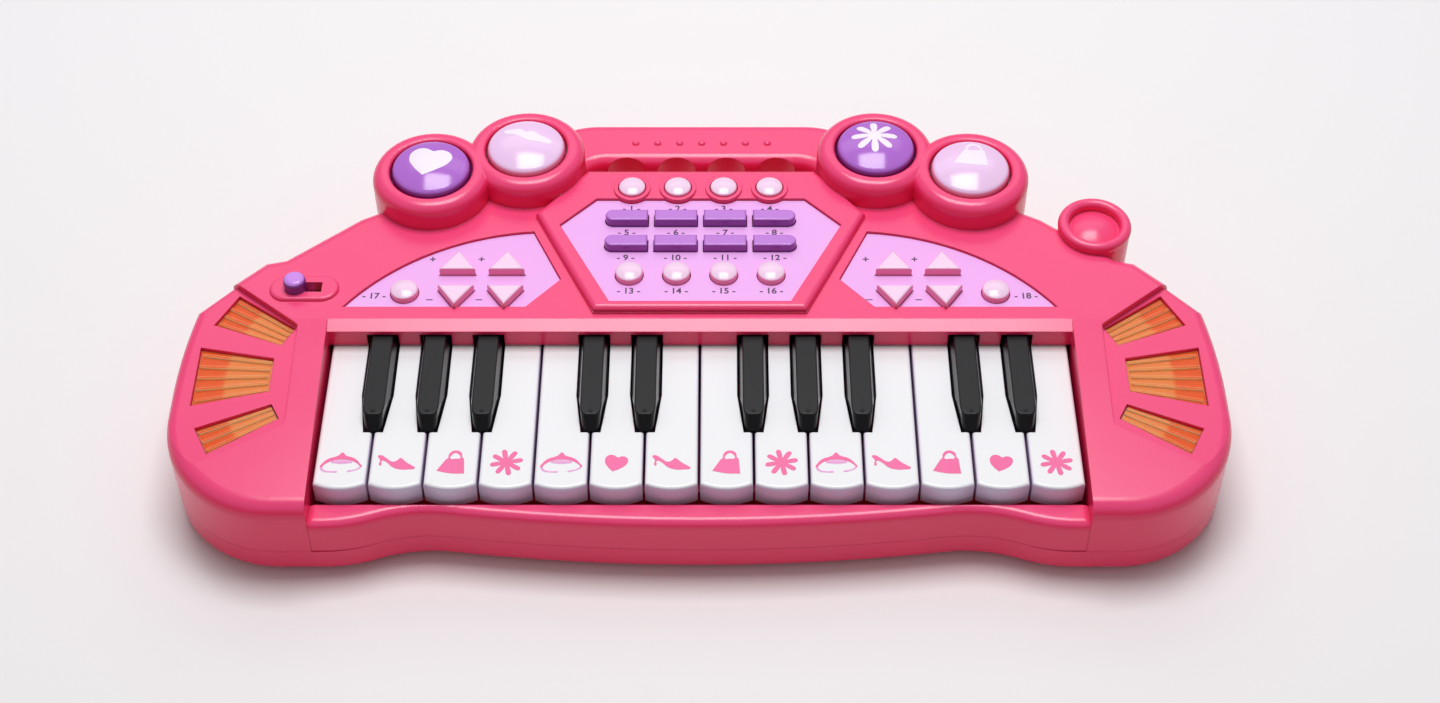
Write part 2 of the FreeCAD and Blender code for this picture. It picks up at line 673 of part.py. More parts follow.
def handle_channel(name, z, height):
    """The hollow inside the handle's bar."""
    inner = f"{HANDLE_INNER} + grip_depth + wall"
    return middle_box(name, inner, z, "handle_half - handle_corner",
                      f"case_depth / 2 - wall - ({inner})", height)


def above_end_decks(name, drop):
    """The space above the end decks' slope, lowered by drop."""
    space = doc.addObject("Part::Box", name)
    bind(space, Length="3 * half_width", Width="case_depth", Height="deck")
    space.Placement = Placement(Vector(), Rotation(Vector(1, 0, 0), number("end_slope")))
    return place(space, "-1.5 * half_width", f"{RIDGE} - case_depth * cos(end_slope)",
                 f"deck - {drop} - case_depth * sin(end_slope)")


# Light panels: sunk, tilted facets of the end decks, each with a fan of three windows.
FAN_Y = from_keys("fan_foot")
FAN_Z = f"deck - ({RIDGE} - {FAN_Y}) * tan(end_slope)"
# Each window's name and number of ribs.
WINDOWS = (("back", 4), ("middle", 5), ("front", 3))


def fan_frame():
    """The light panel's own frame: its origin at the panel's front inner corner, its floor at z = 0."""
    spot = Vector(number("half_width - fan_in"), number(FAN_Y), number(FAN_Z))
    edge = Vector(number("cos(fan_angle)"), number("-sin(fan_angle)"), 0)
    slope = Rotation(Vector(1, 0, 0), number("end_slope"))
    return Placement(spot, slope * Rotation(edge, -number("fan_sink")))


def fan_prism(name, points, z, height):
    sketch = doc.addObject("Sketcher::SketchObject", name + "_outline")
    draw(sketch, points)
    sketch.Placement = fan_frame() * Placement(Vector(0, 0, number(z)), Rotation())
    solid = doc.addObject("Part::Extrusion", name)
    solid.Base = sketch
    solid.DirMode = "Normal"
    solid.Solid = True
    bind(solid, LengthFwd=height)
    return solid


def fan_spot(radius, angle, aside="0"):
    """A point of the light panel from the fan's centre, moved aside across its ray."""
    return (f"fan_in - fan_centre_in + ({radius}) * cos({angle}) - ({aside}) * sin({angle})",
            f"(fan_centre_back - fan_foot) * {STRETCH} + ({radius}) * sin({angle})"
            f" + ({aside}) * cos({angle})")


def wedge(low, high, start, end, gap):
    """An outline between two rays and two distances from the fan's centre, drawn in by gap."""
    return [fan_spot(f"{start} + ({gap})", low, gap),
            fan_spot(f"{end} - ({gap})", low, gap),
            fan_spot(f"{end} - ({gap})", high, f"-({gap})"),
            fan_spot(f"{start} + ({gap})", high, f"-({gap})")]


def window(word, gap):
    return wedge(f"{word}_window_low", f"{word}_window_high", "window_start", "window_end", gap)


def lens_outline(grow):
    """The plate that joins a panel's lenses, grown on every side."""
    start = f"window_start - lens_margin - {grow}"
    end = f"window_end + lens_margin / 2 + {grow}"
    low = "(front_window_low - lens_spread)"
    high = "(back_window_high + lens_spread)"
    return [fan_spot(start, low, f"-{grow}"), fan_spot(end, low, f"-{grow}"), fan_spot(end, "0"),
            fan_spot(end, high, grow), fan_spot(start, high, grow), fan_spot(start, "0")]


FAN_REACH = "2 * fan_in"
FAN_PANEL = [
    ("0", "0"),
    (FAN_REACH, f"-({FAN_REACH}) * tan(fan_angle)"),
    (FAN_REACH, f"fan_top + ({FAN_REACH}) * tan(fan_cheek)"),
    ("0", "fan_top"),
]
fan_slab = fan_prism("fan_slab", FAN_PANEL, "-fan_floor", "fan_floor")
fan_slabs = [fan_slab, mirrored("fan_slab_left", fan_slab)]
windows = [fan_prism(f"{word}_window", window(word, "0"), "-deck / 4", "deck / 2") for word, _ in WINDOWS]
lens_room = fan_prism("lens_room", lens_outline("lens_gap"), "-fan_floor - 2 * lens_plate", "2 * lens_plate")
fan_opening = fuse("fan_opening", [lens_room] + windows)
fan_openings = [fan_opening, mirrored("fan_opening_left", fan_opening)]

# Upper case: the outside.
case_plan = outline("case_plan", both_sides(CASE_HALF), "parting")
upper_block = extrude("upper_block", case_plan, "deck - parting")
upper_sloped = cut("upper_sloped", upper_block, [above_end_decks("over_ends", "0")])
upper_rounded = round_edges("upper_rounded", upper_sloped, "rim_round", is_rim(1))
end_space = box("end_space", BED_HALF, "-case_depth", "0", "half_width", "2 * case_depth", "2 * deck")
end_block = common("end_block", upper_block, end_space)
fan_field = rectangle("-case_depth", "-case_depth", "case_depth", "case_depth")
over_fan = fan_prism("over_fan", fan_field, "0", "deck")
rim = is_rim(1)
bed_side = number(BED_HALF)
fan_end = round_edges("fan_end", cut("fan_end_block", end_block, [over_fan]), "fan_round",
                      lambda shape, edge: rim(shape, edge) and edge.CenterOfMass.x > bed_side + 0.1)
fan_column = fan_prism("fan_column", FAN_PANEL, "-deck", "2 * deck")
fan_space = cut("fan_space", fan_column, [fan_end])
upper_outer = cut("upper_outer", upper_rounded, [fan_space, mirrored("fan_space_left", fan_space)])
handle_plan = outline("handle_plan", HANDLE, "parting")
handle_upper = round_edges("handle_upper", extrude("handle_upper_block", handle_plan, "handle_top - parting"),
                           "handle_round", is_rim(1))
pad_drum = new_body("pad_drum")
revolve(pad_drum, body_sketch(pad_drum, "pad_drum_profile", "XZ_Plane", [
    ("0", "parting"),
    (BOSS_RADIUS, "parting"),
    (BOSS_RADIUS, RING_SEAT, "ring_shoulder"),
    (f"{BOSS_RADIUS} - ring_shoulder", "ring_top"),
    ("0", "ring_top"),
]))
upper_drums = [copy_of(pad_drum, f"upper_{name}", x, y) for name, (x, y) in PADS.items()]
upper_drums.append(cylinder("upper_socket", *SOCKET, "parting", "socket_radius - tuck",
                            "deck + socket_rise - parting"))
upper_solid = fuse("upper_solid", [upper_outer, handle_upper] + upper_drums)

# Upper case: the hollow under the deck, which leaves walls round the key bed.
void_walls = inset("void_walls", case_plan, "wall", f"{CEILING} - rim_round - parting", "wall")
void_roof = inset("void_roof", case_plan, "rim_round - wall", f"{CEILING} - parting", "wall")
void_rooms = [
    cut("void_low", void_walls, [above_end_decks("over_low_void", "(deck_wall + rim_round)")]),
    cut("void_high", void_roof, [above_end_decks("over_high_void", "deck_wall")]),
]
BED_DEPTH = f"({FASCIA} + case_depth)"
bed_wall = middle_box("bed_wall", "-case_depth", "0", f"{BED_HALF} + wall", f"{BED_DEPTH} + wall", "2 * deck")
deck_void = cut("deck_void", fuse("void_both", void_rooms), [bed_wall] + fan_slabs)
bed_opening = middle_box("bed_opening", "-case_depth", "0", BED_HALF, BED_DEPTH, "2 * deck")
socket_bowl = cylinder("socket_bowl", *SOCKET, "deck + socket_floor",
                       "socket_radius - 2 * socket_round + tuck", "deck")
drum_voids = bosses("upper_void", "parting - wall", f"{RING_SHELF} - parting + wall", "-wall",
                    f"{CEILING} - parting + wall")
upper_shell = cut("upper_shell", upper_solid, [deck_void, bed_opening, socket_bowl] + drum_voids
                  + [handle_channel("handle_upper_channel", "parting - wall", "handle_top - parting")])

# Upper case: what stands on the deck.
LIP_END = f"({BED_HALF} + wall / 2)"
LIP = both_sides(wave("front_margin - tuck") + [(LIP_END, by_keys("tuck - front_margin")),
                                                 (LIP_END, by_keys("-lip_gap"))], (LIP_BOW,))
lip_back = number(by_keys("-lip_gap"))
lip = round_edges("lip", prism("lip_block", LIP, "parting", "lip_top - parting"), "lip_round",
                  lambda shape, edge: rim(shape, edge) and edge.CenterOfMass.y < lip_back - 0.1)
PLATFORM_HALF = [
    ("platform_foot", f"{RIDGE} + platform_edge"),
    ("platform_half", from_keys("platform_widest")),
    ("platform_back", from_keys("deck_back")),
]
platform = round_edges("platform", prism("platform_block", both_sides(PLATFORM_HALF), "deck - recess",
                                         "platform_rise + recess"), "platform_edge", rim)
socket_ring = torus("socket_ring", *SOCKET, "deck + socket_rise", "socket_radius - socket_round",
                    "socket_round")
DOME_SPHERE = "((socket_dome ^ 2 + socket_dome_rise ^ 2) / (2 * socket_dome_rise))"
socket_blank = doc.addObject("Part::Sphere", "socket_blank")
bind(socket_blank, Radius=DOME_SPHERE)
place(socket_blank, *SOCKET, f"deck + socket_floor + socket_dome_rise - {DOME_SPHERE}")
socket_cap_space = cylinder("socket_cap_space", *SOCKET, "deck - wall",
                            "socket_radius - socket_round", "deck")
socket_cap = common("socket_cap", socket_blank, socket_cap_space)
TOP_ROW = [(f"{column} * button_pitch", from_keys("top_row")) for column in COLUMNS]
COLLAR = "(button_radius + slide_gap + collar)"
collars = [cylinder(f"collar_{index}", x, y, PLATFORM_FLOOR, COLLAR, "recess + collar_rise")
           for index, (x, y) in enumerate(TOP_ROW, 1)]
KNOB_X = "(knob_in - half_width)"
SLOT_X = f"({KNOB_X} - knob_stem / 2 - slide_gap + {SLOT_LENGTH} / 2)"
KNOB_Y = from_keys("knob_back")
PLATE_HALF = f"({SLOT_LENGTH} / 2 + knob_plate_margin)"
PLATE_ROUND = "knob_plate_width / 2"
PLATE_STRAIGHT = f"({PLATE_HALF} - {PLATE_ROUND})"
PLATE = both_sides([
    (f"{PLATE_STRAIGHT}", f"-{PLATE_ROUND}", PLATE_ROUND),
    (PLATE_HALF, "0", PLATE_ROUND),
    (PLATE_STRAIGHT, PLATE_ROUND),
])
switch_plate_block = prism("switch_plate_block", PLATE, "deck - wall", "wall + knob_plate")
place(switch_plate_block, SLOT_X, KNOB_Y)
switch_plate = round_edges("switch_plate", switch_plate_block, "knob_plate", rim)
dots = []
DOT_Y = f"({HANDLE_INNER} + grip_depth + wall + handle_round)"
for index in range(DOTS):
    dot = doc.addObject("Part::Sphere", f"dot_{index + 1}")
    bind(dot, Radius="dot_radius")
    dots.append(place(dot, f"{index - (DOTS - 1) / 2} * dot_pitch", DOT_Y, "handle_top - dot_radius / 3"))
platform_back = middle_box("platform_back_wall", f"{from_keys('deck_back')} - rim_round + wall",
                           "deck - rim_round", "platform_back", "rim_round - wall", "rim_round")
upper_dressed = fuse("upper_dressed", [upper_shell, lip, platform, platform_back, socket_ring, socket_cap,
                                       switch_plate] + collars + dots)
upper_dressed.Refine = False

# Lenses: three ribbed windows that stand on one plate under each light panel.
lens_pieces = [fan_prism("lens_plate", lens_outline("0"), "-fan_floor - lens_plate", "lens_plate")]
for word, ribs in WINDOWS:
    lens_pieces.append(fan_prism(f"{word}_lens", window(word, "lens_gap"), "-fan_floor - lens_plate / 2",
                                 "fan_floor + lens_plate / 2 - lens_sink"))
    spread = f"({word}_window_high - {word}_window_low)"
    half = "lens_rib_width / 2"
    start = "window_start + 2 * lens_gap"
    end = f"window_end * cos({spread} / 2) - 2 * lens_gap"
    for rib in range(ribs):
        ray = f"({word}_window_low + {spread} * {(rib + 0.5) / ribs})"
        rib_outline = [fan_spot(start, ray, f"-{half}"), fan_spot(end, ray, f"-{half}"),
                       fan_spot(end, ray, half), fan_spot(start, ray, half)]
        lens_pieces.append(fan_prism(f"{word}_lens_rib_{rib + 1}", rib_outline, "-2 * lens_sink",
                                     "lens_sink + lens_rib"))
lens_right = fuse("lens_right", lens_pieces)
nodes["light_lenses"] = group("light_lenses", [lens_right, mirrored("lens_left", lens_right)])


# Buttons: each has a cap, a flange that stops under the deck, and a stem.
def turned(name, radius, top, sphere, edge, flange_top, flange_out, stem, stem_length):
    """A round cap, turned about its own axis: its top part of a sphere, its edge rounded to meet it."""
    flange_foot = f"{flange_top} - flange_thick"
    reach = f"({radius} - {edge})"
    inner = f"({sphere} - {edge})"
    rise = f"sqrt({inner} ^ 2 - {reach} ^ 2)"
    body = new_body(name)
    sketch = body_sketch(body, name + "_profile", "XZ_Plane", [
        ("0", f"{flange_foot} - {stem_length}"),
        (stem, f"{flange_foot} - {stem_length}"),
        (stem, flange_foot),
        (f"{radius} + {flange_out}", flange_foot),
        (f"{radius} + {flange_out}", flange_top),
        (radius, flange_top),
        (radius, f"{top} - {sphere} + {rise}", edge),
        (f"{sphere} * {reach} / {inner}", f"{top} - {sphere} + {sphere} * {rise} / {inner}", sphere),
        ("0", top),
    ])
    revolve(body, sketch)
    return body


def bar_end(grow):
    """A bar whose left end is round."""
    half = f"bar_width / 2 + {grow}"
    return [("bar_width / 2 - bar_length / 2", f"-({half})"), (f"bar_length / 2 + {grow}", f"-({half})"),
            (f"bar_length / 2 + {grow}", half), ("bar_width / 2 - bar_length / 2", half, half),
            (f"-bar_length / 2 - {grow}", "0", half)]


def bar_middle(grow):
    return rectangle(f"-bar_length / 2 - {grow}", f"-bar_width / 2 - {grow}",
                     f"bar_length / 2 + {grow}", f"bar_width / 2 + {grow}")


def triangle(grow):
    """A triangle that points to +Y, its sides moved out by grow."""
    side = "sqrt(triangle_width ^ 2 / 4 + triangle_height ^ 2)"
    half = f"triangle_width / 2 + {grow} * ({side} + triangle_width / 2) / triangle_height"
    foot = f"-triangle_height / 3 - {grow}"
    return [(f"-({half})", foot), (half, foot),
            ("0", f"2 / 3 * triangle_height + {grow} * {side} / (triangle_width / 2)")]


def moulded(name, shape, top):
    """A flat-topped cap of the given outline."""
    body = new_body(name)
    flange_foot = f"{FLANGE_TOP} - flange_thick"
    flange_plan = body_sketch(body, name + "_flange", "XY_Plane", shape("flange"), flange_foot)
    pad(body, flange_plan, "flange_thick")
    cap_plan = body_sketch(body, name + "_cap", "XY_Plane", shape("0"), FLANGE_TOP)
    pad(body, cap_plan, f"{top} - {FLANGE_TOP}")
    square = rectangle("-stem_radius", "-stem_radius", "stem_radius", "stem_radius")
    pad(body, body_sketch(body, name + "_stem", "XY_Plane", square, STEM_FOOT), "stem_length")
    round_body(body, "cap_round", on_top(top))
    return body


MIDDLE_TOP = f"({PLATFORM_FLOOR} + overlay + button_rise)"
SIDE_TOP = f"({DECK_FLOOR} + overlay + button_rise)"
RAISED_TOP = f"({PLATFORM} + collar_rise + button_show)"
ROUND = ("button_sphere", "button_edge", FLANGE_TOP, "flange", "stem_radius", "stem_length")
round_raised = turned("round_raised", "button_radius", RAISED_TOP, *ROUND)
round_middle = turned("round_middle", "button_radius", MIDDLE_TOP, *ROUND)
round_side = turned("round_side", "button_radius", SIDE_TOP, *ROUND)
bar_end_cap = moulded("bar_end_cap", bar_end, MIDDLE_TOP)
bar_middle_cap = moulded("bar_middle_cap", bar_middle, MIDDLE_TOP)
triangle_cap = moulded("triangle_cap", triangle, SIDE_TOP)
pad_cap = turned("pad_cap", "pad_radius", "(ring_top + pad_rise)", "pad_sphere", "pad_edge", PAD_FLANGE_TOP,
                 "2 * pad_gap + flange", "pad_stem_radius", "pad_stem")

for name, (x, y) in PADS.items():
    nodes[name] = copy_of(pad_cap, name, x, y)

# Every button's name, master, x, y, turn in degrees and the outline of its hole.
MIDDLE_BUTTONS = []
for row, back in enumerate(("upper_bars", "lower_bars")):
    for index, column in enumerate(COLUMNS):
        at_end = column in (COLUMNS[0], COLUMNS[-1])
        MIDDLE_BUTTONS.append((f"tone_button_{row * len(COLUMNS) + index + 1}",
                               bar_end_cap if at_end else bar_middle_cap, f"{column} * bar_pitch",
                               from_keys(back), 180 if column == COLUMNS[-1] else 0,
                               bar_end if at_end else bar_middle))
SIDE_BUTTONS = {"left": [], "right": []}
for side, word in SIDE_WORDS:
    for across, step in (("side_first", "inner"), ("side_second", "outer")):
        for back, turn, way in (("side_upper", 0, "up"), ("side_lower", 180, "down")):
            SIDE_BUTTONS[word].append((f"{word}_{step}_{way}_button", triangle_cap, f"{side} * {across}",
                                       from_keys(back), turn, triangle))
    SIDE_BUTTONS[word].append((f"{word}_round_button", round_side, f"{side} * side_round_place",
                               from_keys("side_round_back"), 0, None))
BUTTONS = MIDDLE_BUTTONS + SIDE_BUTTONS["left"] + SIDE_BUTTONS["right"]
BOTTOM_ROW = [(f"{column} * button_pitch", from_keys("bottom_row")) for column in COLUMNS]
ROWS = (("top_row_buttons", round_raised, TOP_ROW), ("bottom_row_buttons", round_middle, BOTTOM_ROW))


def button_hole(name, x, y, turn, shape):
    """The hole that a button's cap runs in, through the deck and its overlay."""
    if shape is None:
        return cylinder(name, x, y, "deck / 2", "button_radius + slide_gap", "deck")
    hole = prism(name, shape("slide_gap"), "deck / 2", "deck")
    hole.Placement = Placement(Vector(), Rotation(Vector(0, 0, 1), turn))
    return place(hole, x, y)


holes = []
for name, master, x, y, turn, shape in BUTTONS:
    nodes[name] = copy_of(master, name, x, y, turn=turn)
    holes.append(button_hole(name + "_hole", x, y, turn, shape))
for name, master, places in ROWS:
    caps = [copy_of(master, f"{name}_{index}", x, y) for index, (x, y) in enumerate(places, 1)]
    web = middle_box(name + "_web", f"{places[0][1]} - stem_radius", f"{FLANGE_TOP} - flange_thick",
                     f"{COLUMNS[-1]} * button_pitch", "2 * stem_radius", "flange_thick")
    nodes[name] = fuse(name, caps + [web])
    holes += [button_hole(f"{name}_hole_{index}", x, y, 0, None) for index, (x, y) in enumerate(places, 1)]

# Overlays, in pockets of the platform and the deck.
MIDDLE_PRINT = both_sides([
    ("print_foot", from_keys("print_front")),
    ("print_half", from_keys("print_widest")),
    ("print_head", from_keys("print_back")),
])
SIDE_PRINT = [
    ("side_print_inner", from_keys("print_front")),
    ("side_print_outer", from_keys("print_front"), "side_print_bow"),
    ("side_print_head", from_keys("side_print_back")),
    ("side_print_point", from_keys("side_print_point_back")),
]
middle_print = outline("middle_print", MIDDLE_PRINT, PLATFORM_FLOOR)
side_print = outline("side_print", SIDE_PRINT, DECK_FLOOR)
collar_spaces = [cylinder(f"collar_space_{index}", x, y, PLATFORM_FLOOR, f"{COLLAR} + overlay_gap",
                          "2 * recess") for index, (x, y) in enumerate(TOP_ROW, 1)]
collar_stays = [cylinder(f"collar_stay_{index}", x, y, f"{PLATFORM_FLOOR} - recess", COLLAR, "4 * recess")
                for index, (x, y) in enumerate(TOP_ROW, 1)]
middle_pocket = cut("middle_pocket", extrude("middle_pocket_block", middle_print, "2 * recess"), collar_stays)
side_pocket = extrude("side_pocket", side_print, "2 * recess")
pockets = [middle_pocket, side_pocket, mirrored("side_pocket_left", side_pocket)]
side_sheet = inset("side_sheet", side_print, "overlay_gap", "overlay")
sheets = [inset("middle_sheet", middle_print, "overlay_gap", "overlay"), side_sheet,
          mirrored("side_sheet_left", side_sheet)]
nodes["panel_overlays"] = cut("panel_overlays", group("overlay_sheets", sheets), holes + collar_spaces)

# Upper case: posts for the boards and the screws, then every hole.
def deck_above(y):
    """Height inside the thickness of the deck at y."""
    return f"deck - deck_wall / 2 - max(0; {RIDGE} - {y}) * tan(end_slope)"


BOARD_POSTS = []
for side in SIDES:
    BOARD_POSTS.append((f"{side} * main_post_place", from_keys("main_post_front")))
    BOARD_POSTS.append((f"{side} * main_post_place", from_keys("main_post_back")))
    BOARD_POSTS.append((f"{side} * side_post_inner", from_keys("side_post_inner_back")))
    BOARD_POSTS.append((f"{side} * side_post_outer", from_keys("side_post_outer_back")))
    BOARD_POSTS.append((f"{SLOT_X} + {side} * switch_post_place", f"{KNOB_Y} + switch_post_back"))
board_posts = [cylinder(f"board_post_{index}", x, y, BOARD_TOP, "post_radius",
                        f"deck - deck_wall / 2 - {BOARD_TOP}") for index, (x, y) in enumerate(BOARD_POSTS, 1)]
screw_posts = [cylinder(f"screw_post_{index}", x, y, "parting", "screw_post", f"{deck_above(y)} - parting")
               for index, (x, y) in enumerate(SCREWS, 1)]
SCREW_SEAT = "(foot_height + screw_shelf + screw_head_height)"
screw_holes = [cylinder(f"screw_hole_{index}", x, y, "0", "screw_radius + screw_play",
                        f"{SCREW_SEAT} + screw_length + screw_room")
               for index, (x, y) in enumerate(SCREWS, 1)]
ring_hole = new_body("ring_hole")
revolve(ring_hole, body_sketch(ring_hole, "ring_hole_profile", "XZ_Plane", [
    ("0", f"{RING_SHELF} - wall"),
    (PAD_HOLE, f"{RING_SHELF} - wall"),
    (PAD_HOLE, "ring_top - ring_lip", "-ring_lip"),
    (f"{PAD_HOLE} + ring_lip", "ring_top"),
    (f"{PAD_HOLE} + ring_lip", "2 * ring_top"),
    ("0", "2 * ring_top"),
]))
pad_holes = [copy_of(ring_hole, f"pad_hole_{name}", x, y) for name, (x, y) in PADS.items()]
BLACKS = [(f"black_key_{index:02d}", key_x(after + 0.5 - (WHITE_KEYS + 1) / 2))
          for index, after in enumerate(BLACK_AFTER, 1)]
notches = [middle_box(f"notch_{name}", f"{FASCIA} - wall", "0", "black_width / 2 + black_gap", "3 * wall",
                      "key_top + black_rise + black_gap", x) for name, x in BLACKS]
fascia_foot = middle_box("fascia_foot", f"{FASCIA} - wall", "0", BED_HALF, "3 * wall",
                         "key_top + fascia_drop")
ledge_space = new_body("ledge_space")
ledge_profile = body_sketch(ledge_space, "ledge_profile", "YZ_Plane", [
    (f"{FASCIA} - wall", "deck - ledge_fall - wall * ledge_fall / ledge_run"),
    (f"{FASCIA} + 2 * ledge_run", "deck + ledge_fall"),
    (f"{FASCIA} - wall", "deck + ledge_fall"),
])
pad(ledge_space, ledge_profile, f"2 * {BED_HALF}", "Symmetric")
knob_slot = middle_box("knob_slot_space", f"{KNOB_Y} - knob_slot / 2", "deck / 2", f"{SLOT_LENGTH} / 2",
                       "knob_slot", "deck", SLOT_X)
grips = [cylinder(f"grip_{index}", f"{step} * grip_pitch", f"{HANDLE_INNER} - grip_radius + grip_depth", "0",
                  "grip_radius", "deck") for index, step in enumerate(COLUMNS, 1)]
upper_posted = fuse("upper_posted", [upper_dressed] + board_posts + screw_posts)
upper_cuts = holes + pockets + fan_openings + screw_holes + pad_holes + notches + grips
nodes["upper_case"] = cut("upper_case", upper_posted, upper_cuts + [fascia_foot, ledge_space, knob_slot])

# Keys: each is a hollow moulding with an arm under the deck and a barrel on the pivot rod.
WHITE_HALF = "(key_pitch / 2 - key_gap / 2)"
WHITE_FOOT = "(key_top - key_skirt)"
ROOT_HALF = "(black_width / 2 + black_gap)"
FRONT_BOW = "((key_pitch ^ 2 / 4 + key_bow ^ 2) / (2 * key_bow))"
BARREL_BACK = f"{PIVOT} + {BARREL}"
BORE = "(pivot_pin / 2 + pivot_fit)"
ABOVE_KEYS = "key_top + key_wall"


def circle(x, y, radius):
    """A round outline, drawn in quarters."""
    return [(f"{x} - {radius}", y, radius), (x, f"{y} - {radius}", radius),
            (f"{x} + {radius}", y, radius), (x, f"{y} + {radius}", radius)]


def key_profile(front, foot, nose):
    """A key's side view: its foot from the front to the arm, the arm and barrel, then its top and nose."""
    return [(front, foot), (f"{FASCIA} - key_skirt", foot), (f"{FASCIA} - wall", ARM_FOOT),
            (PIVOT, ARM_FOOT, BARREL), (BARREL_BACK, "pivot_height", BARREL), (PIVOT, ARM_TOP),
            (f"{FASCIA} + wall", ARM_TOP), (f"{FASCIA} + wall / 2", nose[0][1])] + nose


def arm_features(body, name, x):
    """The bore on the rod and the plunger over the key's contact, x being the middle of the arm."""
    bore = body_sketch(body, name + "_bore", "YZ_Plane", circle(PIVOT, "pivot_height", BORE))
    pocket(body, bore, "2 * key_pitch", "Symmetric")
    plunger_outline = circle(x, from_keys("plunger_back"), "plunger_radius")
    plunger = body_sketch(body, name + "_plunger", "XY_Plane", plunger_outline, PLUNGER_FOOT)
    pad(body, plunger, f"plunger_length + {BARREL} / 2")


def white_root(left, right):
    """Left and right edge of a white key behind the black keys' tips."""
    return (f"({ROOT_HALF} - key_pitch / 2)" if left else f"-{WHITE_HALF}",
            f"(key_pitch / 2 - {ROOT_HALF})" if right else WHITE_HALF)


def white_key(name, left, right):
    """A white key with room for a black key on its left, its right or both."""
    body = new_body(name)
    front = KEYS
    profile = body_sketch(body, name + "_profile", "YZ_Plane",
                          key_profile(front, WHITE_FOOT, [(front, "key_top")]))
    pad(body, profile, f"2 * {WHITE_HALF}", "Symmetric")
    notch_front = f"({from_keys('black_tip')} - black_gap)"
    notch_back = f"{PIVOT} + 2 * {BARREL}"
    for side, taken in ((-1, left), (1, right)):
        if not taken:
            continue
        edge = f"{side} * key_pitch / 2"
        tip = f"{side} * (key_pitch / 2 - black_point / 2 - black_gap)"
        flank = f"{side} * (key_pitch / 2 - {ROOT_HALF})"
        corners = [(edge, notch_front), (tip, notch_front), (flank, f"{from_keys('black_tip')} + black_nose"),
                   (flank, notch_back), (edge, notch_back)]
        notch = body_sketch(body, f"{name}_notch_{side + 1}", "XY_Plane", corners[::-side], ABOVE_KEYS)
        pocket(body, notch, "key_top")
    bow = body_sketch(body, name + "_front", "XY_Plane", [
        ("-key_pitch / 2", by_keys("-key_bow")), ("key_pitch / 2", by_keys("-key_bow")),
        ("key_pitch / 2", by_keys("key_bow"), f"-{FRONT_BOW}"), ("-key_pitch / 2", by_keys("key_bow")),
    ], ABOVE_KEYS)
    pocket(body, bow, "key_top")
    root_left, root_right = white_root(left, right)
    front_room = rectangle(f"key_wall - {WHITE_HALF}", by_keys("key_bow + key_wall"),
                           f"{WHITE_HALF} - key_wall", f"{notch_front} - key_wall")
    root_room = rectangle(f"{root_left} + key_wall", from_keys("black_tip"), f"{root_right} - key_wall",
                          f"{FASCIA} - 2 * key_skirt")
    for index, room_outline in enumerate((front_room, root_room), 1):
        sketch = body_sketch(body, f"{name}_room_{index}", "XY_Plane", room_outline,
                             f"{WHITE_FOOT} - key_wall")
        pocket(body, sketch, "key_skirt", upward=True)
    arm_features(body, name, f"({root_left} + {root_right}) / 2")
    top_edges = on_top("key_top")
    before_tips = number(f"{notch_front} - key_round")
    round_body(body, "key_round",
               lambda shape, edge: top_edges(shape, edge) and edge.BoundBox.YMin < before_tips)
    return body


def black_key(name):
    """A black key: flat on top, its sides leaning in and its tip drawn in."""
    body = new_body(name)
    tip = from_keys("black_tip")
    slant = f"({tip} + black_slant)"
    before_tip = f"({tip} - black_gap)"
    nose_end = f"({tip} + black_nose)"
    summit = "key_top + black_rise"
    above = "key_top + 2 * black_rise"
    profile = body_sketch(body, name + "_profile", "YZ_Plane",
                          key_profile(tip, "key_top - black_depth", [(slant, summit), (tip, "key_top")]))
    pad(body, profile, "black_width", "Symmetric")
    for side in SIDES:
        point = f"{side} * black_point / 2"
        foot_edge = f"{side} * black_width / 2"
        top_edge = f"{side} * black_top_width / 2"
        outside = f"{side} * black_width"
        nose = [(point, before_tip), (outside, before_tip), (outside, nose_end), (foot_edge, nose_end),
                (point, tip)]
        nose_space = body_sketch(body, f"{name}_nose_{side + 1}", "XY_Plane", nose[::side], above)
        pocket(body, nose_space, above)
        flank = [(foot_edge, "key_top"), (outside, "key_top"), (outside, above), (top_edge, above),
                 (top_edge, summit)]
        flank_space = body_sketch(body, f"{name}_flank_{side + 1}", "XZ_Plane", flank[::side])
        pocket(body, flank_space, "2 * case_depth", "Symmetric")
    arm_features(body, name, "0")
    front_reach = number(slant) + 0.01
    round_body(body, "black_tip_round", lambda shape, edge: edge.BoundBox.YMax < front_reach
               and edge.BoundBox.ZLength > 1)
    top_edges = on_top(summit)
    hidden = number(FASCIA)
    round_body(body, "black_round", lambda shape, edge: top_edges(shape, edge)
               and edge.BoundBox.YMin < hidden)
    return body


white_kinds = {}
plungers = []
for index in range(1, WHITE_KEYS + 1):
    kind = (index - 1 in BLACK_AFTER, index in BLACK_AFTER)
    if kind not in white_kinds:
        master = f"white_kind_{len(white_kinds) + 1}"
        opposite = white_kinds.get(kind[::-1])
        white_kinds[kind] = mirrored(master, opposite) if opposite else white_key(master, *kind)
    name = f"white_key_{index:02d}"
    nodes[name] = copy_of(white_kinds[kind], name, white_middle(index))
    root_left, root_right = white_root(*kind)
    plungers.append(f"{white_middle(index)} + ({root_left} + {root_right}) / 2")
black_kind = black_key("black_kind")
for name, x in BLACKS:
    nodes[name] = copy_of(black_kind, name, x)
    plungers.append(x)


def rod(name, half, radius):
    """A cylinder on the keys' pivot, half its length to each side."""
    solid = doc.addObject("Part::Cylinder", name)
    bind(solid, Radius=radius, Height=f"2 * {half}")
    solid.Placement = Placement(Vector(), Rotation(Vector(0, 1, 0), 90))
    return place(solid, f"-{half}", PIVOT, "pivot_height")


nodes["key_pivot_rod"] = rod("key_pivot_rod", f"({BED_HALF} + pivot_end - slide_gap)", "pivot_pin / 2")

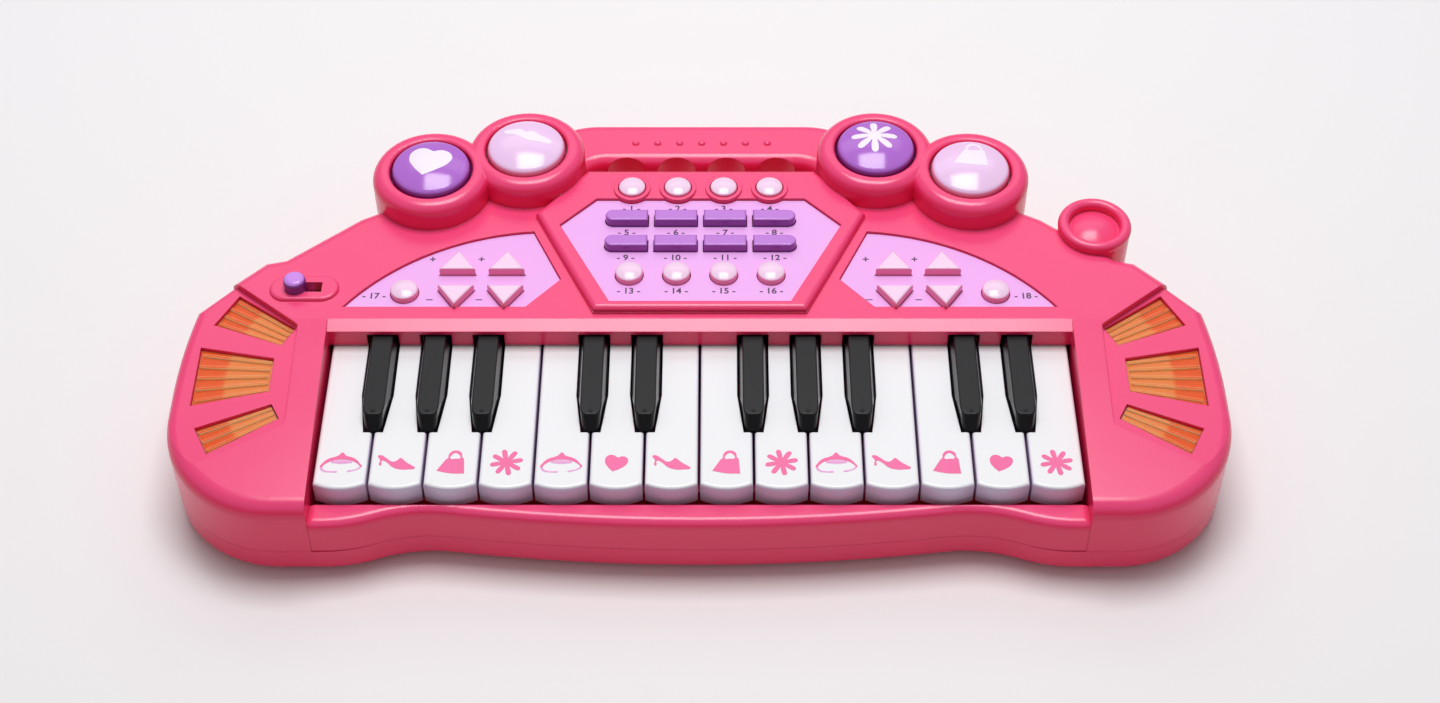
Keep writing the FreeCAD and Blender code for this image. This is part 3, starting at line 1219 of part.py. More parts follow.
# Lower case: tray, drums and handle, hollowed.
tray_plan = outline("tray_plan", TRAY, "foot_height")
tray_block = extrude("tray_block", tray_plan, "parting - foot_height")
tray = round_edges("tray", tray_block, "floor_round", is_rim(-1))
handle_low_plan = outline("handle_low_plan", HANDLE, "handle_foot")
handle_low_block = extrude("handle_low_block", handle_low_plan, "parting - handle_foot")
handle_lower = round_edges("handle_lower", handle_low_block, "handle_round", is_rim(-1))
LOWER_HEIGHT = "parting - foot_height"
lower_drums = bosses("lower_boss", "foot_height", LOWER_HEIGHT, "0", LOWER_HEIGHT)
lower_solid = fuse("lower_solid", [tray, handle_lower] + lower_drums)
room = inset("room", outline("room_plan", TRAY, FLOOR), "wall", "parting")
lower_rooms = bosses("lower_void", FLOOR, "parting", "-wall", "parting")
lower_channel = handle_channel("handle_lower_channel", "handle_foot + wall", "parting")
lower_shell = cut("lower_shell", lower_solid, [room, lower_channel] + lower_rooms)


def floor_post(name, x, y, radius, top):
    """A round post from the underside of the floor up to top."""
    return cylinder(name, x, y, "foot_height", radius, f"{top} - foot_height")


def floor_wall(name, y, half, width, top, x="0"):
    """A straight wall from the underside of the floor up to top."""
    return middle_box(name, y, "foot_height", half, width, f"{top} - foot_height", x)


# Lower case: the battery bay and the seat of its door.
BAY_FRONT = from_keys("bay_front")
DOOR_TOP = "(foot_height + door_thick)"
BAY_TOP = f"({DOOR_TOP} + bay_height)"
BAY_WIDTH = f"(bay_width * {STRETCH})"
DOOR_SCREW = ("0", f"({BAY_FRONT} + {BAY_WIDTH} + bay_wall + screw_post)")
TAB_HALF = "(screw_post + door_rim)"
TAB_REACH = "bay_wall + 2 * screw_post"
bay_block = floor_wall("bay_block", f"{BAY_FRONT} - bay_wall", "bay_half + bay_wall",
                       f"{BAY_WIDTH} + 2 * bay_wall", f"{BAY_TOP} + bay_wall")
door_post = floor_post("door_post", *DOOR_SCREW, "screw_post + 2 * door_rim", "parting")
bay_room = middle_box("bay_room", BAY_FRONT, "0", "bay_half", BAY_WIDTH, BAY_TOP)
door_seat = middle_box("door_seat", f"{BAY_FRONT} - door_rim", "0", "bay_half + door_rim",
                       f"{BAY_WIDTH} + 2 * door_rim", DOOR_TOP)
tab_seat = middle_box("tab_seat", f"{BAY_FRONT} + {BAY_WIDTH}", "0", TAB_HALF, TAB_REACH, DOOR_TOP)

# Lower case: posts, rails, ribs and feet, then every hole.
KEY_BOARD_FRONT = f"({from_keys('plunger_back')} - key_board_width / 2)"
RAIL_HALF = f"({BED_HALF} - wall)"
STOP_TOP = f"({WHITE_FOOT} - (pivot_back - stop_back) * {STRETCH} * tan(key_dip) - 2 * slide_gap)"
standing = [
    bay_block,
    door_post,
    floor_wall("stop_rail", from_keys("stop_back"), RAIL_HALF, "stop_width", STOP_TOP),
    floor_wall("key_rib_front", KEY_BOARD_FRONT, RAIL_HALF, "rib", f"{KEY_BOARD_TOP} - board"),
    floor_wall("key_rib_back", f"{KEY_BOARD_FRONT} + key_board_width - rib", RAIL_HALF, "rib",
               f"{KEY_BOARD_TOP} - board"),
]
for side, word in SIDE_WORDS:
    middle = f"{side} * ({BED_HALF} + pivot_end / 2 + slide_gap)"
    standing.append(floor_wall(f"rod_post_{word}", f"{PIVOT} - {BARREL}", "pivot_end / 2", f"2 * {BARREL}",
                               ARM_TOP, middle))
    for place_word, across in (("front", "(half_width - foot_front_in)"), ("back", "foot_back_place")):
        standing.append(cylinder(f"foot_{word}_{place_word}", f"{side} * {across}",
                                 from_keys(f"foot_{place_word}"), "0", "foot_radius", FLOOR))
for name, (x, y) in PADS.items():
    standing.append(floor_post(f"pad_post_{name}", x, y, "pad_stem_radius", f"{PAD_BOARD_TOP} - board"))
SPEAKER = ("(speaker_in - half_width)", from_keys("speaker_back"))
lower_cuts = [bay_room, door_seat, tab_seat, rod("rod_hole", f"(2 * {BED_HALF})", BORE)]
for index in range(SPEAKER_SLOTS):
    step = f"({index - (SPEAKER_SLOTS - 1) / 2} * slot_pitch)"
    lower_cuts.append(middle_box(f"slot_{index + 1}", f"{SPEAKER[1]} + {step} - slot_width / 2", "0",
                                 f"sqrt(grille_radius ^ 2 - {step} ^ 2)", "slot_width", FLOOR, SPEAKER[0]))
for index, (x, y) in enumerate(SCREWS, 1):
    standing.append(floor_post(f"lower_post_{index}", x, y, "screw_post", "parting"))
    lower_cuts.append(cylinder(f"head_room_{index}", x, y, "0", "screw_head + slide_gap", SCREW_SEAT))
for index, (x, y) in enumerate(SCREWS + [DOOR_SCREW], 1):
    lower_cuts.append(cylinder(f"lower_screw_hole_{index}", x, y, "0", "screw_radius + screw_play", "deck"))
nodes["lower_case"] = cut("lower_case", fuse("lower_filled", [lower_shell] + standing), lower_cuts)


# Screws, and the battery door with its captive one.
def screw(name, x, y, seat, head_height, length):
    """A pan-head screw that points up, its head bearing on seat."""
    head = cylinder(name + "_head", x, y, f"{seat} - {head_height}", "screw_head", head_height)
    shank = cylinder(name + "_shank", x, y, f"{seat} - {head_height} / 2", "screw_radius",
                     f"{length} + {head_height} / 2")
    return fuse(name, [head, shank])


nodes["case_screws"] = group("case_screws", [
    screw(f"case_screw_{index}", x, y, SCREW_SEAT, "screw_head_height", "screw_length")
    for index, (x, y) in enumerate(SCREWS, 1)])
HEAD_SINK = "(door_thick / 2)"
DOOR_SCREW_SEAT = f"foot_height + {HEAD_SINK}"
door_plate = middle_box("door_plate", f"{BAY_FRONT} - door_rim + slide_gap", "foot_height",
                        "bay_half + door_rim - slide_gap", f"{BAY_WIDTH} + 2 * door_rim - 2 * slide_gap",
                        "door_thick")
door_tab = middle_box("door_tab", f"{BAY_FRONT} + {BAY_WIDTH}", "foot_height", f"{TAB_HALF} - slide_gap",
                      f"{TAB_REACH} - slide_gap", "door_thick")
door_holes = [
    cylinder("door_head_room", *DOOR_SCREW, "0", "screw_head + slide_gap", DOOR_SCREW_SEAT),
    cylinder("door_shank_room", *DOOR_SCREW, "0", "screw_radius + screw_play", "deck"),
]
door = cut("door", fuse("door_blank", [door_plate, door_tab]), door_holes)
door_screw = screw("door_screw", *DOOR_SCREW, DOOR_SCREW_SEAT, HEAD_SINK, "parting / 2")
nodes["battery_door"] = group("battery_door", [door, door_screw])

# Battery contacts: plates on the bay's end walls, each with a bump.
contacts = []
for side, word in SIDE_WORDS:
    for row in (1, 3):
        middle = f"{BAY_FRONT} + {BAY_WIDTH} * {row} / 4"
        name = f"contact_{word}_{row}"
        plate = middle_box(name + "_plate", f"{middle} - contact_size / 2", f"{BAY_TOP} - contact_size",
                           "contact_thick / 2", "contact_size", "contact_size",
                           f"{side} * (bay_half - contact_thick / 2)")
        bump = doc.addObject("Part::Cone", name + "_bump")
        bind(bump, Radius1="contact_bump", Radius2="contact_bump_tip", Height="contact_bump_height")
        bump.Placement = Placement(Vector(), Rotation(Vector(0, 1, 0), -90 * side))
        place(bump, f"{side} * (bay_half - contact_thick)", middle, f"{BAY_TOP} - contact_size / 2")
        contacts.append(fuse(name, [plate, bump]))
nodes["battery_contacts"] = group("battery_contacts", contacts)

# Power switch knob: a round cap on a stem, with a shoe that slides under the deck.
KNOB_FOOT = "(deck + knob_plate + slide_gap)"
SHOE_FOOT = f"({FLANGE_TOP} - flange_thick)"
knob_block = cylinder("knob_block", KNOB_X, KNOB_Y, KNOB_FOOT, "knob_radius", "knob_rise")
knob_cap = round_edges("knob_cap", knob_block, "knob_radius / 2", on_top(f"{KNOB_FOOT} + knob_rise"))
knob_stem = middle_box("knob_stem_block", f"{KNOB_Y} - knob_slot / 2 + slide_gap", SHOE_FOOT, "knob_stem / 2",
                       "knob_slot - 2 * slide_gap", f"{KNOB_FOOT} + knob_rise / 2 - {SHOE_FOOT}", KNOB_X)
knob_shoe = middle_box("knob_shoe", f"{KNOB_Y} - knob_slot", SHOE_FOOT, "knob_stem", "2 * knob_slot",
                       "flange_thick", KNOB_X)
nodes["power_switch_knob"] = fuse("power_switch_knob", [knob_cap, knob_stem, knob_shoe])


# Circuit boards with what is soldered to them, and the contact rubbers that lie on them.
def domed_mat(name, sheet_box, spots, foot, top):
    """A rubber mat with a dome at each spot."""
    domes = [cylinder(f"{name}_dome_{index}", x, y, foot, "dome_radius", f"{top} - {foot}")
             for index, (x, y) in enumerate(spots, 1)]
    return fuse(name, [sheet_box] + domes)


def spots_of(buttons):
    return [(x, y) for _, _, x, y, _, _ in buttons]


BOARD_FOOT = f"{BOARD_TOP} - board"
boards = []
rubbers = []
MIDDLE_SPAN = f"(top_row - bottom_row) * {STRETCH}"
boards.append(middle_box("main_board", f"{from_keys('bottom_row')} - 2 * dome_radius", BOARD_FOOT,
                         "main_board_half", f"{MIDDLE_SPAN} + 4 * dome_radius", "board"))
middle_sheet = middle_box("middle_mat_sheet", f"{from_keys('bottom_row')} - 1.5 * dome_radius", BOARD_TOP,
                          "print_head", f"{MIDDLE_SPAN} + 3 * dome_radius", "mat")
rubbers.append(domed_mat("middle_mat", middle_sheet, spots_of(MIDDLE_BUTTONS) + TOP_ROW + BOTTOM_ROW,
                         BOARD_TOP, DOME_TOP))
SIDE_SPAN = f"(side_upper - side_lower) * {STRETCH}"
for side, word in SIDE_WORDS:
    boards.append(middle_box(f"side_board_{word}", f"{from_keys('side_lower')} - 2 * dome_radius", BOARD_FOOT,
                             "(side_board_outer - side_board_inner) / 2",
                             f"{SIDE_SPAN} + 4 * dome_radius", "board",
                             f"{side} * (side_board_outer + side_board_inner) / 2"))
    side_mat_sheet = middle_box(f"{word}_mat_sheet",
                                f"{from_keys('side_lower')} - 1.5 * dome_radius", BOARD_TOP,
                                "(side_round_place - side_first) / 2 + dome_radius",
                                f"{SIDE_SPAN} + 3 * dome_radius", "mat",
                                f"{side} * (side_round_place + side_first) / 2")
    side_spots = spots_of(SIDE_BUTTONS[word])
    rubbers.append(domed_mat(f"{word}_mat", side_mat_sheet, side_spots, BOARD_TOP, DOME_TOP))
boards.append(middle_box("key_board", KEY_BOARD_FRONT, f"{KEY_BOARD_TOP} - board", RAIL_HALF,
                         "key_board_width", "board"))
key_mat_sheet = middle_box("key_mat_sheet", f"{KEY_BOARD_FRONT} + mat", KEY_BOARD_TOP, RAIL_HALF,
                           "key_board_width - 2 * mat", "mat")
rubbers.append(domed_mat("key_mat", key_mat_sheet, [(x, from_keys("plunger_back")) for x in plungers],
                         KEY_BOARD_TOP, KEY_DOME_TOP))
for name, spot in PADS.items():
    boards.append(cylinder(f"{name}_board", *spot, f"{PAD_BOARD_TOP} - board", "pad_radius", "board"))
    disc = cylinder(f"{name}_mat_disc", *spot, PAD_BOARD_TOP, "3 * dome_radius", "mat")
    rubbers.append(domed_mat(f"{name}_mat", disc, [spot], PAD_BOARD_TOP, PAD_DOME_TOP))
LAMP_BOARD_FOOT = "(lip_top - board)"
for side, word in SIDE_WORDS:
    bed_side = f"({BED_HALF} + wall)"
    lamp_set = [middle_box(f"lamp_board_{word}", f"{from_keys('fan_centre_back')} - lamp_board_width / 2",
                           LAMP_BOARD_FOOT, "lamp_board_length / 2", "lamp_board_width", "board",
                           f"{side} * ({bed_side} + lamp_board_length / 2)")]
    for step in (-1, 0, 1):
        lamp_set.append(cylinder(f"lamp_{word}_{step + 2}", f"{side} * ({bed_side} + lamp_reach)",
                                 f"{from_keys('fan_centre_back')} + {step} * lamp_pitch",
                                 f"{LAMP_BOARD_FOOT} + board / 2", "lamp_radius", "lamp_height + board / 2"))
    boards.append(fuse(f"lamp_set_{word}", lamp_set))
switch_board = middle_box("switch_board", f"{KNOB_Y} - switch_board_front", BOARD_FOOT, "switch_board_half",
                          "switch_board_depth", "board", SLOT_X)
switch_body = middle_box("switch_body", f"{KNOB_Y} - switch_width / 2", BOARD_FOOT, "switch_half",
                         "switch_width", f"{SHOE_FOOT} - slide_gap - ({BOARD_FOOT})", SLOT_X)
boards.append(fuse("switch_set", [switch_board, switch_body]))
nodes["circuit_boards"] = group("circuit_boards", boards)
nodes["contact_rubbers"] = group("contact_rubbers", rubbers)

# Loudspeaker, face down on the slotted floor.
loudspeaker = new_body("loudspeaker")
revolve(loudspeaker, body_sketch(loudspeaker, "speaker_profile", "XZ_Plane", [
    ("0", "speaker_cone - speaker_cap_height"),
    ("speaker_cap", "speaker_cone"),
    ("speaker_radius - speaker_rim", "speaker_rim_height / 2"),
    ("speaker_radius - speaker_rim", "0"),
    ("speaker_radius", "0"),
    ("speaker_radius", "speaker_rim_height"),
    ("speaker_magnet", "speaker_basket"),
    ("speaker_magnet", "speaker_height"),
    ("0", "speaker_height"),
]))
nodes["loudspeaker"] = place(loudspeaker, *SPEAKER, FLOOR)

# Check every piece, then write each to its own file.
doc.recompute()
for item in doc.Objects:
    for fault in ("Invalid", "Error"):
        if fault in item.State:
            raise RuntimeError(f"{item.Label}: {fault}")
shapes = {}
for name, item in nodes.items():
    item.Label = name
    shapes[name] = Part.getShape(item)
    if shapes[name].isNull() or not shapes[name].isValid():
        raise RuntimeError(f"{name}: no valid shape")
os.makedirs("parts", exist_ok=True)
for name, shape in shapes.items():
    shape.exportStep(f"parts/{name}.step")
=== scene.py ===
import math

import bmesh
import bpy
from mathutils import Matrix, Vector


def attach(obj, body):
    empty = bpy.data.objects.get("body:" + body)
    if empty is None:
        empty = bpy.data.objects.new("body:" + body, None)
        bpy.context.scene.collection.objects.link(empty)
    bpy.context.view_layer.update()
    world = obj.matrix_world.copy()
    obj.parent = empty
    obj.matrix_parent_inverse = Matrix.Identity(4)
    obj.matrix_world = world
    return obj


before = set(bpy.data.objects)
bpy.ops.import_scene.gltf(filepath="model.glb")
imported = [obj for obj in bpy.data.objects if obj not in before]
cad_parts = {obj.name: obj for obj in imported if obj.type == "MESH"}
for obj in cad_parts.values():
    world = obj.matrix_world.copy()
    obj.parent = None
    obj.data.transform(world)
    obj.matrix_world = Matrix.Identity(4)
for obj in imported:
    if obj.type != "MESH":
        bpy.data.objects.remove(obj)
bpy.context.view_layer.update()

MM = 0.001
# The line of the white keys' fronts in the part's frame; places "from the keys" start there.
KEYS = -86.25
KEY_PITCH = 18.5
WHITE_KEYS = 14
# Heights of the surfaces that carry a print or a pip.
WHITE_TOP = 34.0
BLACK_TOP = 39.3
MIDDLE_FILM = 45.0
SIDE_FILM = 42.0
PAD_TOP = 57.6
# A drum pad's crown is part of a sphere of this radius.
PAD_SPHERE = 30.0
# Middles of the drum pads, across and from the keys.
PADS = {1: (-98.7, 134.0), 2: (-64.5, 145.2), 3: (64.5, 145.2), 4: (98.7, 134.0)}
# The white key to the left of each black one.
BLACK_AFTER = (1, 2, 3, 5, 6, 8, 9, 10, 12, 13)
# The four columns of buttons, in steps from the middle.
COLUMNS = (-1.5, -0.5, 0.5, 1.5)
# The centre of a light panel's fan of windows, in metres and without signs.
FAN_CENTRE = (0.1129, 0.04035, 0.039)
# Refractive indices of the plastics.
ABS_IOR = 1.54
FILM_IOR = 1.58
ACRYLIC_IOR = 1.49
# A Mix node's sockets for colours, whose names it also uses for numbers.
COLOUR_A = 6
COLOUR_B = 7
COLOUR_MIX = 2
# Points closer than this, in millimetres, are one.
SAME_POINT = 0.001


def linear(code):
    """An sRGB hex colour as linear red, green, blue and alpha."""
    parts = [int(code[start:start + 2], 16) / 255 for start in (1, 3, 5)]
    return (*(part / 12.92 if part <= 0.04045 else ((part + 0.055) / 1.055) ** 2.4 for part in parts), 1.0)


def add(tree, kind, inputs=None, **settings):
    """One node with its settings; each input gets a value or the output that feeds it."""
    node = tree.nodes.new("ShaderNode" + kind)
    for name, value in settings.items():
        setattr(node, name, value)
    for name, value in (inputs or {}).items():
        if isinstance(value, bpy.types.NodeSocket):
            tree.links.new(value, node.inputs[name])
        else:
            node.inputs[name].default_value = value
    return node


def blank(name):
    """A material with nothing in it but its output."""
    material = bpy.data.materials.new(name)
    material.use_nodes = True
    tree = material.node_tree
    tree.nodes.clear()
    return material, tree, add(tree, "OutputMaterial")


def per_mm(size):
    """A pattern's scale for features of that size in millimetres."""
    return 1 / (size * MM)


# A moulding, in millimetres: clouds of pigment, patches dulled by hands, orange peel with its usual depth,
# and the round that every moulded edge has.
PIGMENT_CLOUD = 60
HANDLED_PATCH = 40
ORANGE_PEEL = 1.6
PEEL_DEPTH = 0.012
MOULDED_EDGE = 0.5


def moulded_abs(name, colour, flow, gloss, side=None, side_gloss=None, peel=PEEL_DEPTH, sheen=0.5):
    """Injection-moulded ABS: pigment that flowed a little unevenly, a polished tool's gloss and a faint
    orange peel. A side colour is painted shade and painted reflected colour where the surface turns away
    from straight up; a side gloss changes the shine there."""
    material, tree, output = blank(name)
    spot = add(tree, "TexCoord").outputs["Object"]
    swirl = add(tree, "TexNoise", {"Vector": spot, "Scale": per_mm(PIGMENT_CLOUD), "Detail": 2.0})
    tone = add(tree, "Mix", {"Factor": swirl.outputs["Fac"], COLOUR_A: linear(colour),
                             COLOUR_B: linear(flow)}, data_type="RGBA")
    colour_out = tone.outputs[COLOUR_MIX]
    # Hands leave the gloss uneven by 7 or 8 per cent.
    smear = add(tree, "TexNoise", {"Vector": spot, "Scale": per_mm(HANDLED_PATCH), "Detail": 1.0})
    shine = add(tree, "MapRange", {"Value": smear.outputs["Fac"], "From Min": 0.3, "From Max": 0.7,
                                   "To Min": gloss * 0.93, "To Max": gloss * 1.08})
    shine_out = shine.outputs["Result"]
    if side or side_gloss:
        upright = add(tree, "SeparateXYZ", {"Vector": add(tree, "NewGeometry").outputs["Normal"]})
        facing = add(tree, "MapRange", {"Value": upright.outputs["Z"], "From Min": 0.45, "From Max": 0.8},
                     interpolation_type="SMOOTHSTEP")
        # The side colour is painted shade and painted reflected colour on walls and flanks that turn away
        # from straight up.
        if side:
            painted_side_light = add(tree, "Mix", {"Factor": facing.outputs["Result"], COLOUR_A: linear(side),
                                      COLOUR_B: colour_out}, data_type="RGBA")
            colour_out = painted_side_light.outputs[COLOUR_MIX]
        if side_gloss:
            turn = add(tree, "Mix", {"Factor": facing.outputs["Result"], "A": side_gloss, "B": shine_out})
            shine_out = turn.outputs["Result"]
    ripple = add(tree, "TexNoise", {"Vector": spot, "Scale": per_mm(ORANGE_PEEL), "Detail": 1.0})
    edges = add(tree, "Bevel", {"Radius": MOULDED_EDGE * MM}, samples=4)
    skin = add(tree, "Bump", {"Height": ripple.outputs["Fac"], "Strength": 0.5, "Distance": peel * MM,
                              "Normal": edges.outputs["Normal"]})
    shader = add(tree, "BsdfPrincipled", {"Base Color": colour_out, "Roughness": shine_out, "IOR": ABS_IOR,
                                          "Specular IOR Level": sheen, "Normal": skin.outputs["Normal"]})
    tree.links.new(shader.outputs["BSDF"], output.inputs["Surface"])
    return material


# A print, in millimetres: clouds in the ink, and its tooth with its depth. A screen's mesh is 0.12 mm wide
# and is drawn at 0.5 mm so that it shows.
INK_CLOUD = 30
INK_TOOTH = 0.5
TOOTH_DEPTH = 0.01


def printed_film(name, colour, shade):
    """Printed film or ink: an even satin coat with a fine tooth."""
    material, tree, output = blank(name)
    spot = add(tree, "TexCoord").outputs["Object"]
    cloud = add(tree, "TexNoise", {"Vector": spot, "Scale": per_mm(INK_CLOUD), "Detail": 2.0})
    tone = add(tree, "Mix", {"Factor": cloud.outputs["Fac"], COLOUR_A: linear(colour),
                             COLOUR_B: linear(shade)}, data_type="RGBA")
    tooth = add(tree, "TexVoronoi", {"Vector": spot, "Scale": per_mm(INK_TOOTH)})
    skin = add(tree, "Bump", {"Height": tooth.outputs["Distance"], "Strength": 0.25,
                              "Distance": TOOTH_DEPTH * MM})
    dull = add(tree, "MapRange", {"Value": cloud.outputs["Fac"], "To Min": 0.3, "To Max": 0.46})
    shader = add(tree, "BsdfPrincipled", {"Base Color": tone.outputs[COLOUR_MIX],
                                          "Roughness": dull.outputs["Result"], "IOR": FILM_IOR,
                                          "Normal": skin.outputs["Normal"]})
    tree.links.new(shader.outputs["BSDF"], output.inputs["Surface"])
    return material


# A lens, in millimetres: where its colour deepens, from the fan's centre, the round of its ribs, its flow
# marks with their depth, and how far light spreads in it.
DEEP_START = 50
DEEP_FULL = 52
RIB_ROUND = 0.6
FLOW_MARK = 6
MARK_DEPTH = 0.03
LIGHT_SPREAD = 3


def moulded_acrylic(name, colour, deep, painted_flank_light):
    """Tinted moulded acrylic: deep at its outer end, with painted light that makes the flanks of its ribs
    paler.
    """
    material, tree, output = blank(name)
    spot = add(tree, "TexCoord").outputs["Object"]
    # The lenses fan out from centres at the same distance left and right, so places count without signs.
    unsigned = add(tree, "VectorMath", {"Vector": spot}, operation="ABSOLUTE")
    reach = add(tree, "VectorMath", {0: unsigned.outputs["Vector"], 1: FAN_CENTRE}, operation="DISTANCE")
    outer = add(tree, "MapRange", {"Value": reach.outputs["Value"], "From Min": DEEP_START * MM,
                                   "From Max": DEEP_FULL * MM}, interpolation_type="SMOOTHSTEP")
    body = add(tree, "Mix", {"Factor": outer.outputs["Result"], COLOUR_A: linear(colour),
                             COLOUR_B: linear(deep)}, data_type="RGBA")
    edges = add(tree, "Bevel", {"Radius": RIB_ROUND * MM}, samples=4)
    # The flanks of the ribs take the pale colour, which is painted light for the streaks along them.
    upright = add(tree, "SeparateXYZ", {"Vector": edges.outputs["Normal"]})
    crown = add(tree, "MapRange", {"Value": upright.outputs["Z"], "From Min": 0.75, "From Max": 0.97})
    tone = add(tree, "Mix", {"Factor": crown.outputs["Result"], COLOUR_A: linear(painted_flank_light),
                             COLOUR_B: body.outputs[COLOUR_MIX]}, data_type="RGBA")
    streak = add(tree, "TexNoise", {"Vector": spot, "Scale": per_mm(FLOW_MARK), "Detail": 2.0})
    shine = add(tree, "MapRange", {"Value": streak.outputs["Fac"], "To Min": 0.1, "To Max": 0.26})
    skin = add(tree, "Bump", {"Height": streak.outputs["Fac"], "Strength": 0.3, "Distance": MARK_DEPTH * MM,
                              "Normal": edges.outputs["Normal"]})
    shader = add(tree, "BsdfPrincipled", {"Base Color": tone.outputs[COLOUR_MIX],
                                          "Roughness": shine.outputs["Result"], "IOR": ACRYLIC_IOR,
                                          "Subsurface Weight": 0.6, "Subsurface Radius": (1.0, 0.5, 0.2),
                                          "Subsurface Scale": LIGHT_SPREAD * MM,
                                          "Normal": skin.outputs["Normal"]})
    tree.links.new(shader.outputs["BSDF"], output.inputs["Surface"])
    return material


def worked_metal(name, colour, dull, grain, across):
    """Bare or plated metal with the lines that drawing, turning or stamping leaves. Real ones are finer than
    a tenth of a millimetre and are drawn at the grain given, in millimetres, so that they show."""
    material, tree, output = blank(name)
    spot = add(tree, "TexCoord").outputs["Object"]
    stretch = add(tree, "Mapping", {"Vector": spot, "Scale": across})
    lines = add(tree, "TexNoise", {"Vector": stretch.outputs["Vector"], "Scale": per_mm(grain),
                                   "Detail": 2.0})
    tone = add(tree, "Mix", {"Factor": lines.outputs["Fac"], COLOUR_A: linear(colour),
                             COLOUR_B: linear(dull)}, data_type="RGBA")
    shine = add(tree, "MapRange", {"Value": lines.outputs["Fac"], "To Min": 0.2, "To Max": 0.42})
    shader = add(tree, "BsdfPrincipled", {"Base Color": tone.outputs[COLOUR_MIX], "Metallic": 1.0,
                                          "Roughness": shine.outputs["Result"]})
    tree.links.new(shader.outputs["BSDF"], output.inputs["Surface"])
    return material


# Depth of the flecks in rubber, paper and solder resist, in millimetres.
FLECK_DEPTH = 0.05


def speckled(name, colour, fleck, size, gloss):
    """A surface with flecks of a second tone, such as rubber, paper cone or solder resist. Real flecks are
    finer and are drawn at the size given, in millimetres, so that they show."""
    material, tree, output = blank(name)
    spot = add(tree, "TexCoord").outputs["Object"]
    dots = add(tree, "TexNoise", {"Vector": spot, "Scale": per_mm(size), "Detail": 4.0, "Roughness": 0.7})
    tone = add(tree, "Mix", {"Factor": dots.outputs["Fac"], COLOUR_A: linear(colour),
                             COLOUR_B: linear(fleck)}, data_type="RGBA")
    skin = add(tree, "Bump", {"Height": dots.outputs["Fac"], "Strength": 0.4, "Distance": FLECK_DEPTH * MM})
    shine = add(tree, "MapRange", {"Value": dots.outputs["Fac"], "To Min": gloss * 0.8,
                                   "To Max": gloss * 1.2})
    shader = add(tree, "BsdfPrincipled", {"Base Color": tone.outputs[COLOUR_MIX],
                                          "Roughness": shine.outputs["Result"],
                                          "Normal": skin.outputs["Normal"]})
    tree.links.new(shader.outputs["BSDF"], output.inputs["Surface"])
    return material


# Polished pink ABS: a glossy, saturated pink, with painted shade that deepens it on the walls.
pink_case = moulded_abs("pink_abs_polished_moulding", "#F8447C", "#FA4F86", 0.24, side="#F2285F")
# Polished white ABS: bright tops; the cool lilac on fronts and flanks is painted shade and painted reflected
# colour.
white_keys = moulded_abs("white_abs_polished_moulding", "#F6F5F8", "#F3F2F6", 0.2, side="#D3C4DF", peel=0.006)
# Satin charcoal ABS: soft dark tops with glossier flanks, darkened further by painted shade.
black_keys = moulded_abs("charcoal_abs_satin_moulding", "#1E1D20", "#232225", 0.36, side="#131215",
                         side_gloss=0.16, sheen=0.22)
# Purple ABS: light bar tops, with painted shade that darkens the sides.
purple_caps = moulded_abs("purple_abs_moulding", "#C077DA", "#C681DE", 0.16, side="#983CA2")
# Violet ABS: a light knob top, with painted shade that darkens the sides.
violet_knob = moulded_abs("violet_abs_moulding", "#CD88EE", "#D08EF0", 0.2, side="#7A2E86")
# Purple ABS from a domed tool: a smooth crown with a tight highlight, and painted shade that darkens its
# rounded edge.
purple_pads = moulded_abs("purple_abs_domed_moulding", "#B36AD4", "#BA72D8", 0.14, side="#84308E", peel=0.005)
# Pale pink ABS: nearly white tops, with a painted pink reflection on the sides.
pale_caps = moulded_abs("pale_pink_abs_moulding", "#F9D2F2", "#FADAF4", 0.18, side="#FF8CB4")
# Pale pink ABS from a domed tool: a milky crown with a tight highlight, and a painted pink reflection on its
# rounded edge.
pale_pads = moulded_abs("pale_pink_abs_domed_moulding", "#F4CBF5", "#F6D2F7", 0.16, side="#E77FA8",
                        peel=0.005)
# Screen-printed film: a bright lilac field with a satin shine.
lilac_film = printed_film("lilac_screen_printed_film", "#F2B4F6", "#EFAAF4")
# Ribbed acrylic: a warm orange that deepens outward, with painted pale light streaks on its rib flanks.
orange_lens = moulded_acrylic("orange_acrylic_ribbed_moulding", "#EE8540", "#EA5808", "#FFD6A4")
# Pink pad-printing ink: figures less shiny than the keys under them.
key_ink = printed_film("pink_pad_printing_ink", "#F55F9F", "#F76BA8")
# White pad-printing ink: flat, nearly white figures on the domes.
pale_ink = printed_film("white_pad_printing_ink", "#FBF2FC", "#F7E9FA")
# Dark plum screen ink: small dark numbers and signs on the film.
label_ink = printed_film("dark_plum_screen_ink", "#4A2A52", "#55325E")
# Lilac pad-printing ink: a lighter second colour in the tiaras.
tiara_ink = printed_film("lilac_pad_printing_ink", "#E99CD8", "#EFA6DC")
# Solder resist over laminate: a mottled green with a slight shine.
green_board = speckled("green_solder_resist_on_laminate", "#2C6B3C", "#3A7D4A", 0.8, 0.4)
# Silicone rubber: a matt, slightly mottled grey.
grey_rubber = speckled("grey_silicone_rubber_moulding", "#8C8C90", "#7C7C82", 0.6, 0.7)
# Painted steel and paper: a dull black with a soft grain.
black_basket = speckled("black_painted_steel_and_paper_cone", "#2B2B2D", "#38383A", 1.2, 0.6)
# Cold-drawn rod: a bright grey with lines along its length.
drawn_steel = worked_metal("cold_drawn_steel_rod", "#B8BABD", "#9A9CA0", 0.4, (0.05, 1.0, 1.0))
# Nickel plate: a warm, bright metal with upright lines.
bright_nickel = worked_metal("nickel_plated_spring_steel", "#D0CDC6", "#B8B5AE", 0.5, (1.0, 1.0, 0.2))
# Zinc plate: an even, darker grey.
screw_zinc = worked_metal("zinc_plated_screw_steel", "#A9ABAE", "#8C8E92", 0.4, (1.0, 1.0, 1.0))

